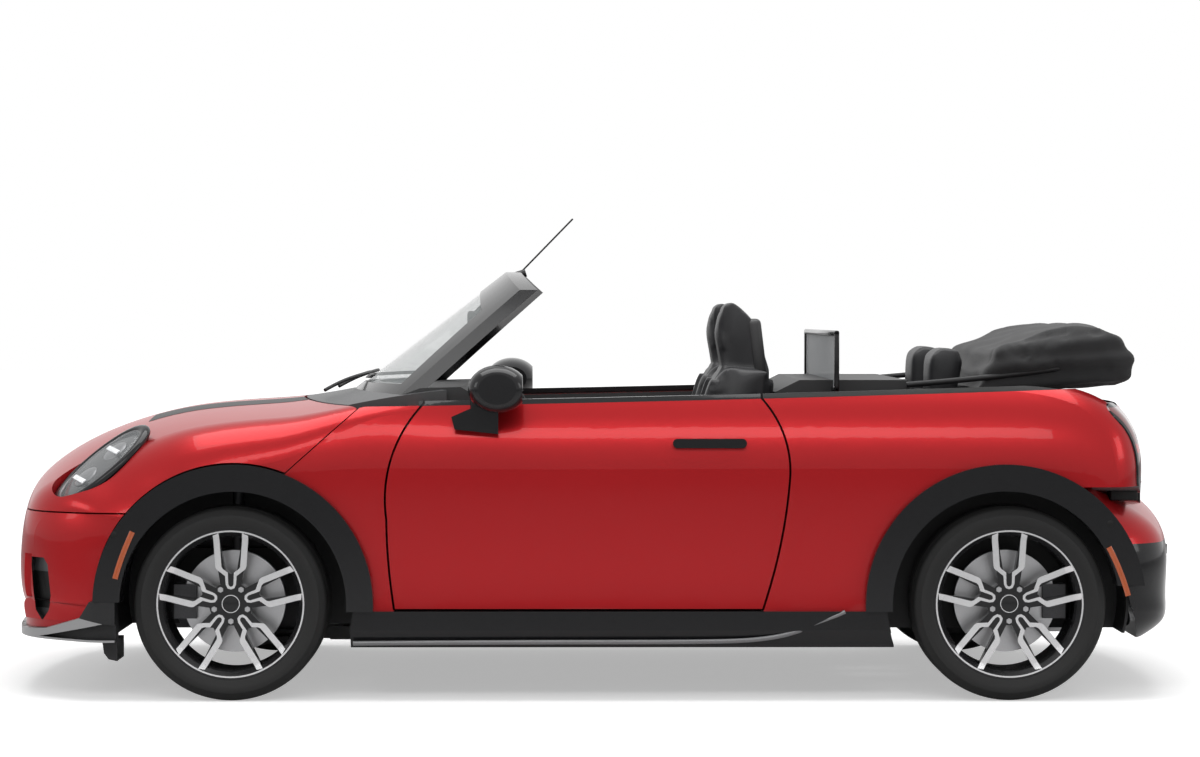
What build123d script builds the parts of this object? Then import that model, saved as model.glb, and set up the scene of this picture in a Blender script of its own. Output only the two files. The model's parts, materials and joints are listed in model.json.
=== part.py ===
"""Small two-door convertible car with its fabric roof folded down.

Millimetres. While a piece is drawn, X = 0 and Z = 0 lie on the front axle line, +X points
forward, +Y to the car's left and +Z up. save() lifts every piece so that the tyres stand on
Z = 0 and the middle of the car's length is X = 0.
"""
import os
from collections import namedtuple
from math import cos, degrees, hypot, radians, sin, sqrt, tan

from build123d import *

# ---------------------------------------------------------------- driving dimensions
WHEELBASE = 2495
FRONT_OVERHANG = 772
REAR_OVERHANG = 612
TRACK = 1501
HALF_WIDTH = 850           # body skin at its widest line
TRIM_PROUD = 20            # arch trims stand out from the skin by this much

TYRE_RADIUS = 311
TYRE_WIDTH = 215
RIM_RADIUS = 246           # over the rim flanges
RIM_WIDTH = 188
BARREL_RADIUS = 214        # inside of the rim barrel
HUB_RADIUS = 62
SPINDLE_RADIUS = 18
RUNNING_GAP = 0.3          # turning fit at a spindle or pin

SHUT_GAP = 7               # doors
PANEL_GAP = 5              # hood, tailgate and fixed panel joints
SKIN = 22                  # hood and bumper, skin with its inner frame
CABIN_HALF = 712           # inside face of the cabin walls

ARCH_OPENING = 362         # radius of the wheel opening
ARCH_TRIM_WIDTH = 86
WELL_CLEARANCE = 74        # from the tyre to the wheel housing
HOUSING_WALL = 8

WAIST = 434                # height of the widest line above the axles
SPLIT_HEIGHT = 292         # joint between hood and bumper
SILL_TOP = -23
SILL_BOTTOM = -140
FLOOR_TOP = -95
FLOOR_WALL = 30
JACK_X = (-667.5, -1717.5)     # middles of the jacking pads, ahead of and behind the doors
JACK_Y = 650
JACK_SIZE = (90, 56, 12)

# ---------------------------------------------------------------- derived places
REAR = -WHEELBASE
LENGTH = FRONT_OVERHANG + WHEELBASE + REAR_OVERHANG
FRONT_AXLE_X = LENGTH / 2 - FRONT_OVERHANG
ARCH_OUTER = ARCH_OPENING + ARCH_TRIM_WIDTH
WELL_RADIUS = TYRE_RADIUS + WELL_CLEARANCE
TRIM_SEAT = CABIN_HALF + 63
TRIM_FACE = HALF_WIDTH + TRIM_PROUD
NOSE = FRONT_OVERHANG - 12     # bumper face at axle height

# Sections of the body skin: each lies in a plane through the axle line named by axle_x,
# turned up from straight ahead by angle, or stands upright across the car at 90 degrees.
Section = namedtuple("Section", "axle_x angle low flare half waist tumble_r corner_r crown_r top")
ROOT, FLARE = 150, 200         # where fanned sections start and where their flank begins
BODY_SECTIONS = [Section(*row) for row in [
    (0, -14, ROOT, FLARE, HALF_WIDTH - 12, 330, 420, 300, 3200, NOSE + 9),
    (0, 0, ROOT, FLARE, HALF_WIDTH - 12, 330, 420, 300, 3200, NOSE - 1),
    (0, 15, ROOT, FLARE, HALF_WIDTH - 10, 350, 430, 300, 3000, NOSE + 35),
    (0, 24, ROOT, FLARE, HALF_WIDTH - 8, 370, 430, 300, 2700, NOSE + 55),
    (0, 33, ROOT, FLARE, HALF_WIDTH - 7, 390, 420, 290, 2400, NOSE + 35),
    (0, 45, ROOT, FLARE, HALF_WIDTH - 5, 430, 400, 280, 2000, 737),
    (0, 60, ROOT, FLARE, HALF_WIDTH - 2, 480, 400, 240, 2600, 677),
    (0, 75, ROOT, FLARE, HALF_WIDTH, 449, 400, 200, 3600, 643),
    (0, 90, ROOT, FLARE, HALF_WIDTH, WAIST, 400, 180, 4500, 635),
    (-190, 90, 60, 160, HALF_WIDTH, WAIST, 400, 150, 5000, 650),
    (-406, 90, -60, 110, HALF_WIDTH, WAIST, 400, 100, 5500, 688),
    (-700, 90, -80, 100, HALF_WIDTH, WAIST, 400, 90, 5500, 730),
    (REAR + 795, 90, -80, 100, HALF_WIDTH, WAIST, 400, 90, 5500, 745),
    (REAR + 460, 90, -60, 110, HALF_WIDTH, WAIST, 400, 90, 5500, 750),
    (REAR + 210, 90, 60, 160, HALF_WIDTH, WAIST, 400, 90, 5500, 755),
    (REAR, 90, ROOT, FLARE, HALF_WIDTH, WAIST, 400, 90, 5500, 760),
    (REAR, 105, ROOT, FLARE, HALF_WIDTH, 449, 400, 110, 5000, 772),
    (REAR, 116, ROOT, FLARE, HALF_WIDTH - 1, 470, 400, 140, 4200, 785),
    (REAR, 124, ROOT, FLARE, HALF_WIDTH - 2, 480, 390, 160, 3600, 774),
    (REAR, 131, ROOT, FLARE, HALF_WIDTH - 3, 450, 370, 170, 3300, 735),
    (REAR, 140, ROOT, FLARE, HALF_WIDTH - 4, 400, 340, 170, 3100, 652),
    (REAR, 150, ROOT, FLARE, HALF_WIDTH - 5, 340, 310, 170, 3000, 588),
    (REAR, 165, ROOT, FLARE, HALF_WIDTH - 8, 300, 290, 170, 2800, 530),
    (REAR, 190, ROOT, FLARE, HALF_WIDTH - 10, 280, 280, 170, 2800, 500),
]]
BUMPER_BACK = REAR_OVERHANG + 20
BUMPER_SECTIONS = [Section(*row) for row in [
    (REAR, 122, ROOT, FLARE, HALF_WIDTH - 2, 330, 330, 170, 3200, 530),
    (REAR, 135, ROOT, FLARE, HALF_WIDTH - 2, 330, 330, 200, 3200, 560),
    (REAR, 147, ROOT, FLARE, HALF_WIDTH - 2, 330, 330, 230, 3000, BUMPER_BACK - 34),
    (REAR, 157, ROOT, FLARE, HALF_WIDTH - 3, 320, 330, 240, 2900, BUMPER_BACK),
    (REAR, 168, ROOT, FLARE, HALF_WIDTH - 4, 310, 330, 240, 2800, BUMPER_BACK - 8),
    (REAR, 180, ROOT, FLARE, HALF_WIDTH - 6, 300, 320, 240, 2800, BUMPER_BACK - 24),
    (REAR, 196, ROOT, FLARE, HALF_WIDTH - 12, 290, 300, 240, 2800, BUMPER_BACK - 92),
]]
SIDE_R = 2900              # flank between the foot and the widest line
LEAST_TURN = 8
FOOT_R = 700               # hollow flare that carries the skin out to the sills

# Wing line where the red skin ends, nearly straight and a little lower at the front
BELT_FRONT = (-400, 630)
BELT_MIDDLE = (REAR + 793, 656)
BELT_REAR = (REAR - 260, 688)
MOULDING = 16

COWL_ARC = (-1592.5, 1425)     # centre X and radius of the hood's rear edge, from above
GLASS_ARC = (-1579.5, 1252)    # the same for the foot of the windshield
GLASS_RAKE = 37.5
GLASS = 5
FRAME_DEPTH = 46
HEADER_TOP = 1074


# ---------------------------------------------------------------- drawing helpers
def slab(sketch, y_low, y_high):
    """Extrude a side view, drawn in X and Z, from y_low to y_high."""
    return extrude(Plane.XZ.offset(-y_high) * sketch, y_high - y_low, dir=(0, -1, 0))


def column(sketch, z_low, z_high):
    """Extrude a plan view, drawn in X and Y."""
    return extrude(Pos(0, 0, z_low) * sketch, z_high - z_low, dir=(0, 0, 1))


def beam(sketch, x_low, x_high):
    """Extrude a front view, drawn in Y and Z."""
    return extrude(Plane.YZ.offset(x_low) * sketch, x_high - x_low, dir=(1, 0, 0))


def block(x_low, x_high, y_low, y_high, z_low, z_high):
    low_corner = (Align.MIN, Align.MIN, Align.MIN)
    size = (x_high - x_low, y_high - y_low, z_high - z_low)
    return Pos(x_low, y_low, z_low) * Box(*size, align=low_corner)


def rod(x, z, radius, y_low, y_high):
    """Round bar along Y."""
    return slab(Pos(x, z) * Circle(radius), y_low, y_high)


def polygon(*points):
    return Polygon(*points, align=None)


def ring(outer, inner):
    return Circle(outer) - Circle(inner)


def bar_between(start, end, radius):
    """Round bar from one point to another."""
    start, end = Vector(*start), Vector(*end)
    run = end - start
    return Solid.make_cylinder(radius, run.length, Plane(start, z_dir=run))


def largest(shape):
    return max(shape.solids(), key=lambda solid: solid.volume)


def mirrored(shape):
    return mirror(shape, about=Plane.XZ)


def both_sides(shape):
    return [*shape.solids(), *mirrored(shape).solids()]


SET_DOWN = Pos(FRONT_AXLE_X, 0, TYRE_RADIUS)


def save(node, *shapes):
    solids = [solid for shape in shapes for solid in shape.solids()]
    export_step(SET_DOWN * Compound(children=solids), f"parts/{node}.step")


# ---------------------------------------------------------------- body skin
def point_on(centre, towards, radius):
    reach = hypot(towards[0] - centre[0], towards[1] - centre[1])
    return tuple(c + (t - c) * radius / reach for c, t in zip(centre, towards))


def arc_of(centre, radius, start, end):
    halfway = ((start[0] + end[0]) / 2, (start[1] + end[1]) / 2)
    return start, point_on(centre, halfway, radius), end


def rounded_corner(first, first_r, second, second_r, corner_r):
    """Centre of the arc that rounds the corner between two arcs, from inside both."""
    to_first, to_second = first_r - corner_r, second_r - corner_r
    dx, dy = second[0] - first[0], second[1] - first[1]
    apart = hypot(dx, dy)
    along = (to_first**2 - to_second**2 + apart**2) / (2 * apart)
    aside = sqrt(to_first**2 - along**2)
    foot = (first[0] + dx * along / apart, first[1] + dy * along / apart)
    offset = (aside * dy / apart, -aside * dx / apart)
    choices = [(foot[0] + s * offset[0], foot[1] + s * offset[1]) for s in (1, -1)]
    return max(choices, key=sum)


def waist_limit(half, tumble_r, corner_r, crown, crown_r):
    """Highest widest line that still leaves the tumblehome its least share of the turn."""
    turn, reach = radians(LEAST_TURN), tumble_r - corner_r
    across = half - tumble_r + reach * cos(turn)
    return crown[1] + sqrt((crown_r - corner_r) ** 2 - across**2) - reach * sin(turn)


def skin_wire(row):
    """One closed section: flare, flank, tumblehome, corner and crown, on both sides."""
    low, flare_start, half, top = row.low, row.flare, row.half, row.top
    tumble_r, corner_r, crown_r = row.tumble_r, row.corner_r, row.crown_r
    crown = (0, top - crown_r)
    waist = min(row.waist, waist_limit(half, tumble_r, corner_r, crown, crown_r))
    flank, tumble = (half - SIDE_R, waist), (half - tumble_r, waist)
    corner = rounded_corner(tumble, tumble_r, crown, crown_r, corner_r)
    widest = (half, waist)
    shoulder = point_on(tumble, corner, tumble_r)
    eaves = point_on(crown, corner, crown_r)
    flare = (flank[0] + sqrt(SIDE_R**2 - (flare_start - waist) ** 2), flare_start)
    hollow = point_on(flank, flare, SIDE_R + FOOT_R)
    foot = (hollow[0] - sqrt(FOOT_R**2 - (low - hollow[1]) ** 2), low)
    arcs = [
        arc_of(hollow, FOOT_R, foot, flare),
        arc_of(flank, SIDE_R, flare, widest),
        arc_of(tumble, tumble_r, widest, shoulder),
        arc_of(corner, corner_r, shoulder, eaves),
    ]
    ahead, up = cos(radians(row.angle)), sin(radians(row.angle))

    def place(point, side):
        return Vector(row.axle_x + point[1] * ahead, side * point[0], point[1] * up)

    left = [ThreePointArc(*(place(p, 1) for p in arc)) for arc in arcs]
    right = [ThreePointArc(*(place(p, -1) for p in reversed(arc))) for arc in reversed(arcs)]
    crown_arc = ThreePointArc(place(eaves, 1), place((0, top), 1), place(eaves, -1))
    return Wire([*left, crown_arc, *right, Line(place(foot, -1), place(foot, 1))])


def skin_block(sections):
    return Solid.make_loft([skin_wire(row) for row in sections])


def shrunk(solid, axle_x):
    """Copy drawn in towards an axle line, by the skin's thickness where the skin is furthest out."""
    return Pos(axle_x, 0, 0) * scale(Pos(-axle_x, 0, 0) * solid, by=1 - SKIN / NOSE)


BODY = skin_block(BODY_SECTIONS)
BODY_INSIDE = shrunk(BODY, 0)
REAR_BUMPER_BLOCK = skin_block(BUMPER_SECTIONS)
REAR_BUMPER_INSIDE = shrunk(REAR_BUMPER_BLOCK, REAR)

# ---------------------------------------------------------------- side views that cut the skin
FAR = 900
ARCH_X = (-10, REAR + 15)      # arch centres, a little off the axles as on the car


def arch_circle(axle, radius):
    return Pos(ARCH_X[axle], 0) * Circle(radius)


def belt_region(raised, x_front=300):
    """Everything below the wing line, raised by a height."""
    points = [(x, z + raised) for x, z in (BELT_FRONT, BELT_MIDDLE, BELT_REAR)]
    front, rear = (x_front, points[0][1]), (REAR - FAR, points[2][1])
    edges = [
        Line(front, points[0]),
        ThreePointArc(*points),
        Line(points[2], rear),
        Polyline(rear, (rear[0], -FAR), (x_front, -FAR), front),
    ]
    return make_face(edges)


DOOR_FRONT = -502.5            # door skin's foremost point
DOOR_REAR = REAR + 708         # door skin's rearmost point


def door_region(height):
    """Door seen from the side, with its shut lines running straight up above the wing line."""
    front_top, front_low = (DOOR_FRONT - 118, 640), (DOOR_FRONT - 23, SILL_TOP + 6)
    rear_top, rear_low = (DOOR_REAR + 87, 656), (DOOR_REAR + 84, SILL_TOP + 6)
    edges = [
        ThreePointArc(front_low, (DOOR_FRONT - 5, 140), (DOOR_FRONT, 271)),
        ThreePointArc((DOOR_FRONT, 271), (DOOR_FRONT - 32, 510), front_top),
        Polyline(front_top, (front_top[0], height), (rear_top[0], height), rear_top),
        ThreePointArc(rear_top, (DOOR_REAR + 15, 530), (DOOR_REAR, 398)),
        ThreePointArc((DOOR_REAR, 398), (DOOR_REAR + 27, 200), rear_low),
        Line(rear_low, front_low),
    ]
    return make_face(edges)


DOOR = door_region(FAR)
DOOR_OPENING = offset(DOOR, SHUT_GAP)

SIDE_WALL = BODY & block(REAR - 250, -150, CABIN_HALF, 2 * FAR, SILL_TOP, 740)
SIDE_WALL &= slab(belt_region(0), 0, 2 * FAR)

# Diagonal joint between the hood and the panel behind it
DIAGONAL_TOP = (-406, 628)
DIAGONAL_LOW = (-167, 414)
DIAGONAL_SLOPE = (DIAGONAL_TOP[1] - DIAGONAL_LOW[1]) / (DIAGONAL_TOP[0] - DIAGONAL_LOW[0])


def diagonal_x(height):
    return DIAGONAL_LOW[0] + (height - DIAGONAL_LOW[1]) / DIAGONAL_SLOPE


def ahead_of_diagonal(low):
    return polygon((FAR, low), (FAR, FAR), (diagonal_x(FAR), FAR), (diagonal_x(low), low))


# ---------------------------------------------------------------- hood and its hinges
HOOD_HINGE = (-527.5, 609)
HINGE_PIN = 4
HINGE_BARREL = 8
HOOD_HINGE_Y = 745
HINGE_LEAF = 10
HINGE_HALF = 12                # half the length of a body-side barrel

LAMP_CENTRE = Vector(441, 655, 434)
LAMP_NORMAL = Vector(0.51, 0.41, 0.757).normalized()
LAMP_ALONG = Vector(-0.713, -0.289, 0.637)
LAMP_LIFT = Vector(0.178, 0, 0.984)        # the way the hood sets off when it opens
LAMP_LONG = 186
LAMP_WIDE = 108
LAMP_DEPTH = 95
LAMP_GAP = 8
LAMP_FOOT = 302                # the lamp ends just above the bumper
LAMP_DOME_RADIUS = 900
LAMP_DOME_HEIGHT = 14


def lamp_prism(grow, depth, height):
    """Oval bar along the way the hood lifts off."""
    outline = Plane(LAMP_CENTRE - LAMP_LIFT * depth, x_dir=LAMP_ALONG, z_dir=LAMP_NORMAL)
    outline *= Ellipse(LAMP_LONG + grow, LAMP_WIDE + grow)
    return extrude(outline, depth + height, dir=LAMP_LIFT)


def fixed_barrel(x, z, y):
    """Body-side hinge barrel along Y, bored for the pin."""
    bore = HINGE_PIN + RUNNING_GAP
    return rod(x, z, HINGE_BARREL, y - HINGE_HALF, y + HINGE_HALF) - rod(x, z, bore, y - 40, y + 40)


def moving_barrels(x, z, y):
    """Two barrels on one pin, either side of the body-side barrel."""
    near, far = HINGE_HALF + RUNNING_GAP, HINGE_HALF + RUNNING_GAP + HINGE_LEAF
    ends = rod(x, z, HINGE_BARREL, y + near, y + far) + rod(x, z, HINGE_BARREL, y - far, y - near)
    return ends + rod(x, z, HINGE_PIN, y - far, y + far)


def make_hood():
    outline = ahead_of_diagonal(SPLIT_HEIGHT) - arch_circle(0, ARCH_OUTER + PANEL_GAP)
    skin = (BODY & slab(outline, -FAR, FAR)) - BODY_INSIDE
    skin -= column(Pos(COWL_ARC[0], 0) * Circle(COWL_ARC[1]), 0, FAR)
    skin = largest(skin)
    x, z = HOOD_HINGE
    near, far = HINGE_HALF + RUNNING_GAP, HINGE_HALF + RUNNING_GAP + HINGE_LEAF
    arm = polygon((x - 6, z - 6), (x - 6, z + 6), (x + 150, z + 6), (x + 215, z + 2), (x + 215, z - 18), (x + 60, z - 10))
    arms = [slab(arm, HOOD_HINGE_Y + low, HOOD_HINGE_Y + low + HINGE_LEAF) for low in (near, -far)]
    hinge = moving_barrels(x, z, HOOD_HINGE_Y) + arms
    hinge -= rod(x, z, HINGE_BARREL + 2, HOOD_HINGE_Y - near, HOOD_HINGE_Y + near)
    hinge += rod(x, z, HINGE_PIN, HOOD_HINGE_Y - far, HOOD_HINGE_Y + far)
    hole = lamp_prism(LAMP_GAP, LAMP_DEPTH, LAMP_DEPTH)
    skin = skin - hole - mirrored(hole)
    return skin + hinge + mirrored(hinge)


def make_headlight():
    """Lamp body with a shallow domed lens that fills the hole in the hood."""
    dome = Pos(LAMP_CENTRE - LAMP_NORMAL * (LAMP_DOME_RADIUS - LAMP_DOME_HEIGHT)) * Sphere(LAMP_DOME_RADIUS)
    return largest(lamp_prism(0, LAMP_DEPTH, LAMP_DEPTH) & dome & block(0, FAR, 0, FAR, LAMP_FOOT, FAR))


# ---------------------------------------------------------------- front end
LIP_BOTTOM = -121
TRIM_JOINT = 8                 # height where the front arch trim meets the lip
SKIN_FOOT = -61                # the bumper's curved skin ends here and its straight rim goes on below
RIM_JOINT = [(710, -95), (607, -85), (532, SKIN_FOOT)]
FLANK_JOINT = [(532, SKIN_FOOT), (486, -46), (451, TRIM_JOINT)]
LIP_REAR = 368
RIM_SHARE, LIP_INSIDE = 0.965, 0.9
LIP_PLAN = [(LIP_REAR, 864), (430, 864), (505, 822), (580, 765), (655, 690), (705, 600), (738, 450), (762, 250), (772, 0)]
GRILLE_HALF = 430
GRILLE_LOW = 20


def grille_view(grow=0):
    return polygon(
        (-GRILLE_HALF - grow, 150), (-GRILLE_HALF + 60, SPLIT_HEIGHT - 22 + grow),
        (GRILLE_HALF - 60, SPLIT_HEIGHT - 22 + grow), (GRILLE_HALF + grow, 150),
        (GRILLE_HALF - 60, GRILLE_LOW - grow), (-GRILLE_HALF + 60, GRILLE_LOW - grow))


def slot_view(side):
    """Upright air slot near each corner of the bumper."""
    return Pos(side * 655, 79) * Rectangle(46, 142)


def front_skin(low, high):
    """Shell of the nose between two heights, ahead of the wheel arches."""
    skin = (BODY & block(320, FAR, -FAR, FAR, low, high)) - BODY_INSIDE
    return skin - slab(arch_circle(0, ARCH_OUTER + PANEL_GAP), -FAR, FAR)


def lip_plan(share):
    """Plan of the lip, drawn in towards its rear edge by a share."""
    points = [(LIP_REAR + (x - LIP_REAR) * share, y * share) for x, y in LIP_PLAN]
    points += [(x, -y) for x, y in reversed(points[:-1])]
    return make_face(Spline(*points) + Line(points[-1], points[0]))


def make_front_bumper():
    skin = front_skin(SKIN_FOOT, SPLIT_HEIGHT - PANEL_GAP)
    skin -= slab(polygon(*FLANK_JOINT, (0, TRIM_JOINT), (0, -FAR), (532, -FAR)), -FAR, FAR)
    for view in (grille_view(), slot_view(1), slot_view(-1)):
        skin -= beam(view, 400, FAR)
    rim = column(lip_plan(RIM_SHARE) - lip_plan(LIP_INSIDE), LIP_BOTTOM, SKIN_FOOT)
    rim &= slab(polygon((FAR, SKIN_FOOT), (FAR, RIM_JOINT[0][1]), *RIM_JOINT), -FAR, FAR)
    return largest(skin) + rim


SLAT_COUNT = 6
SLAT = 9
GRILLE_RIM = 14
GRILLE_BACK = 689


def make_grille():
    """Bars across the opening, joined by a backing that seats inside the bumper."""
    front = (BODY & beam(grille_view(-1), 400, FAR)) - BODY_INSIDE
    pitch = (SPLIT_HEIGHT - 22 - GRILLE_LOW) / SLAT_COUNT
    opening = offset(grille_view(-1), -GRILLE_RIM)
    for i in range(SLAT_COUNT):
        between = Pos(0, GRILLE_LOW + pitch * (i + 0.5)) * Rectangle(2 * FAR, pitch - SLAT)
        front -= beam(opening & between, 400, FAR)
    return front + (BODY_INSIDE & beam(grille_view(18), GRILLE_BACK, FAR))


def make_front_lip():
    """Black lower edge of the nose: wall, thin blade, rising corner wing and a flap ahead of each wheel."""
    inside = lip_plan(LIP_INSIDE)
    outside = column(lip_plan(1) - inside, LIP_BOTTOM, TRIM_JOINT)
    joint = [(FAR, RIM_JOINT[0][1]), *RIM_JOINT, *FLANK_JOINT[1:], (LIP_REAR, TRIM_JOINT)]
    wall_view = polygon((LIP_REAR, LIP_BOTTOM), (FAR, LIP_BOTTOM), *joint)
    wing_view = polygon((LIP_REAR, -66), (407, -62), (640, -115), (FAR, -117), (FAR, -101), *joint[1:])
    blade_view = Pos(LIP_REAR, LIP_BOTTOM) * Rectangle(FAR, 7, align=(Align.MIN, Align.MIN))
    lip = column(lip_plan(RIM_SHARE) - inside, LIP_BOTTOM, TRIM_JOINT) & slab(wall_view, -FAR, FAR)
    lip += outside & slab(wing_view, -FAR, FAR)
    lip += outside & slab(blade_view, -FAR, FAR)
    flap_view = polygon((416, LIP_BOTTOM + 4), (LIP_REAR, LIP_BOTTOM + 4), (LIP_REAR, -186), (395, -180), (410, -160))
    flap = slab(flap_view, 660, 812)
    return lip + flap + mirrored(flap)


def make_cowl():
    behind_hood = Pos(COWL_ARC[0], 0) * Circle(COWL_ARC[1] - PANEL_GAP - 4)
    plan = behind_hood - Pos(GLASS_ARC[0], 0) * Circle(GLASS_ARC[1] - 110)
    plan &= Pos(-500, 0) * Rectangle(1000, 2 * CABIN_HALF)
    return largest(BODY & column(plan, 560, FAR))


HINGE_WELL = block(HOOD_HINGE[0] - 34, -366, CABIN_HALF, 779, 556, FAR)
DOOR_HINGE = (DOOR_FRONT - 90, 828)
DOOR_HINGE_HEIGHTS = (235, 470)


def door_hinge_fixed(height):
    """Bracket from the pillar, with an upright bored barrel on the door's axis."""
    x, y = DOOR_HINGE
    low, high = height - HINGE_HALF, height + HINGE_HALF
    arm = block(x - 8, x + 8, 735, y, low, high) + block(x, DOOR_FRONT + SHUT_GAP + 6, 735, 750, low, high)
    barrel = column(Pos(x, y) * Circle(HINGE_BARREL), low, high)
    return arm + barrel - column(Pos(x, y) * Circle(HINGE_PIN + RUNNING_GAP), low - 5, high + 5)


def make_side_panel():
    """Panel between the hood's diagonal and the door, with the pillar that carries the door."""
    panel = SIDE_WALL & block(DOOR_FRONT - 200, FAR, 0, 2 * FAR, -FAR, FAR)
    panel -= slab(DOOR_OPENING, 0, 2 * FAR)
    panel -= Pos(-PANEL_GAP, 0, 0) * slab(ahead_of_diagonal(-FAR), 0, 2 * FAR)
    panel -= slab(arch_circle(0, ARCH_OUTER), TRIM_SEAT, 2 * FAR)
    panel -= slab(Circle(WELL_RADIUS + HOUSING_WALL), 0, TRIM_SEAT)
    panel = largest(panel - HINGE_WELL)
    for height in DOOR_HINGE_HEIGHTS:
        panel += door_hinge_fixed(height)
    x, z = HOOD_HINGE
    stand = block(x - 8, x + 8, HOOD_HINGE_Y - HINGE_HALF, HOOD_HINGE_Y + HINGE_HALF, 550, z)
    stand -= rod(x, z, HINGE_PIN + RUNNING_GAP, 0, FAR)
    return panel + stand + fixed_barrel(x, z, HOOD_HINGE_Y)


# ---------------------------------------------------------------- doors
DOOR_SKIN_Y = 760
DOOR_INSIDE = CABIN_HALF + 10


def door_hinge_moving(height):
    x, y = DOOR_HINGE
    near, far = HINGE_HALF + RUNNING_GAP, HINGE_HALF + RUNNING_GAP + HINGE_LEAF
    knuckle = Pos(x, y) * Circle(HINGE_BARREL) + Pos(x - 15, y + 1) * Rectangle(30, 10)
    ends = column(knuckle, height + near, height + far) + column(knuckle, height - far, height - near)
    return ends + column(Pos(x, y) * Circle(HINGE_PIN), height - far, height + far)


def make_door():
    skin = SIDE_WALL & slab(DOOR, DOOR_SKIN_Y, 2 * FAR)
    inner = slab(offset(DOOR, -30) & belt_region(-6), DOOR_INSIDE, DOOR_SKIN_Y)
    door = skin + inner
    x, y = DOOR_HINGE
    for height in DOOR_HINGE_HEIGHTS:
        door -= block(x - 24, 0, 0, y + HINGE_BARREL + 1, height - 46, height + 46)
        door += door_hinge_moving(height)
    return largest(door)


MOULDING_INSIDE = 745


def belt_strip(side_view):
    strip = side_view & (belt_region(MOULDING) - belt_region(0))
    return BODY & slab(strip, MOULDING_INSIDE, FAR)


MIRROR_X, MIRROR_Z = -858, 690
MIRROR_RINGS = [(795, 58, 44), (840, 84, 66), (900, 95, 76), (950, 88, 70), (976, 60, 48)]      # Y, half length, half height


def make_door_mirror():
    """Rounded housing, flat at its glass, on a foot that stands on the door."""
    rings = [Plane((MIRROR_X, y, MIRROR_Z), x_dir=(1, 0, 0), z_dir=(0, 1, 0)) * Ellipse(long, high)
             for y, long, high in MIRROR_RINGS]
    shell = loft(rings) - block(MIRROR_X - 200, MIRROR_X - 78, 700, FAR + 200, 500, FAR)
    foot_view = polygon((MIRROR_X, 545), (MIRROR_X + 140, 560), (MIRROR_X + 150, 600), (MIRROR_X + 90, 626), (MIRROR_X, 626))
    foot = slab(foot_view, 770, 862) - BODY
    neck = column(Pos(MIRROR_X + 50, 846) * RectangleRounded(80, 32, 14), 590, 660)
    return shell + foot + neck


def make_door_fittings():
    """Mirror on its foot, the pull handle and the moulding along the top of the door."""
    moulding = belt_strip(DOOR)
    handle_x = DOOR_REAR + 253
    handle_z = 515
    grip = Pos(handle_x, handle_z) * RectangleRounded(236, 30, 14)
    handle = slab(grip, 820, 862) - BODY
    return moulding + make_door_mirror(), handle


# ---------------------------------------------------------------- rear body
TAIL_HALF = 560
TAILGATE_LOW = 385
TAILGATE_TOP = 632
TAILGATE_SKIN = 62
TAILGATE_HINGE = (REAR - 486, 370)
BOOT_FLOOR = 130
DECK_TOP = 668
BUMPER_TOP = 369


TAIL_CORNER = BODY & block(REAR - FAR, REAR - 240, TAIL_HALF, 2 * FAR, 0, 740)
TAIL_CORNER &= slab(belt_region(0), 0, 2 * FAR)


def tail_lamp_prism():
    view = Pos(684, 495) * RectangleRounded(184, 290, 60)
    return beam(view, REAR - FAR, REAR - 270)


def tailgate_view(grow=0):
    height = TAILGATE_TOP - TAILGATE_LOW
    return Pos(0, TAILGATE_LOW + height / 2) * RectangleRounded(2 * (TAIL_HALF - 5 + grow), height + 2 * grow, 40 + grow)


def make_quarter_panel():
    """Wall behind the door with the rear wheel arch, wrapping round to the tailgate."""
    wall = SIDE_WALL & block(REAR - FAR, DOOR_REAR + 200, 0, 2 * FAR, -FAR, FAR)
    wall -= slab(DOOR_OPENING, 0, 2 * FAR)
    corner = TAIL_CORNER - block(REAR - 380, REAR, 0, CABIN_HALF, -FAR, FAR)
    panel = wall + corner
    panel -= block(REAR - FAR, REAR - 230, 0, 2 * FAR, -FAR, BUMPER_TOP + PANEL_GAP)
    panel -= slab(arch_circle(1, ARCH_OUTER), TRIM_SEAT, 2 * FAR)
    panel -= slab(Pos(REAR, 0) * Circle(WELL_RADIUS + HOUSING_WALL), 0, TRIM_SEAT)
    return largest(panel - tail_lamp_prism())


def make_tail_lamp():
    return largest(Pos(-6, 0, 0) * (BODY & tail_lamp_prism()) & tail_lamp_prism())


def make_tailgate():
    skin = BODY & beam(tailgate_view(), REAR - FAR, REAR - 300)
    front_face = REAR - 503 + TAILGATE_SKIN
    skin -= column(Pos(front_face + 3000, 0) * Circle(3000), 0, FAR)
    gate = largest(skin)
    x, z = TAILGATE_HINGE
    for y in (-TAIL_HALF + 150, TAIL_HALF - 150):
        leaf = polygon((x - 5, z), (x - 5, z + 30), (x + 5, z + 30), (x + 5, z))
        near, far = HINGE_HALF + RUNNING_GAP, HINGE_HALF + RUNNING_GAP + HINGE_LEAF
        gate += slab(leaf, y + near, y + far) + slab(leaf, y - far, y - near) + moving_barrels(x, z, y)
    return gate


def make_rear_bumper():
    view = polygon((REAR - 150, 190), (REAR - 150, BUMPER_TOP), (REAR - FAR, BUMPER_TOP), (REAR - FAR, 190))
    view -= arch_circle(1, ARCH_OUTER + PANEL_GAP)
    lamp = make_tail_lamp()
    skin = (REAR_BUMPER_BLOCK & slab(view, -FAR, FAR)) - REAR_BUMPER_INSIDE
    return largest(skin - lamp - mirrored(lamp))


TRIM_END = 60                  # height where the rear arch trim meets the black bumper


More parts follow.
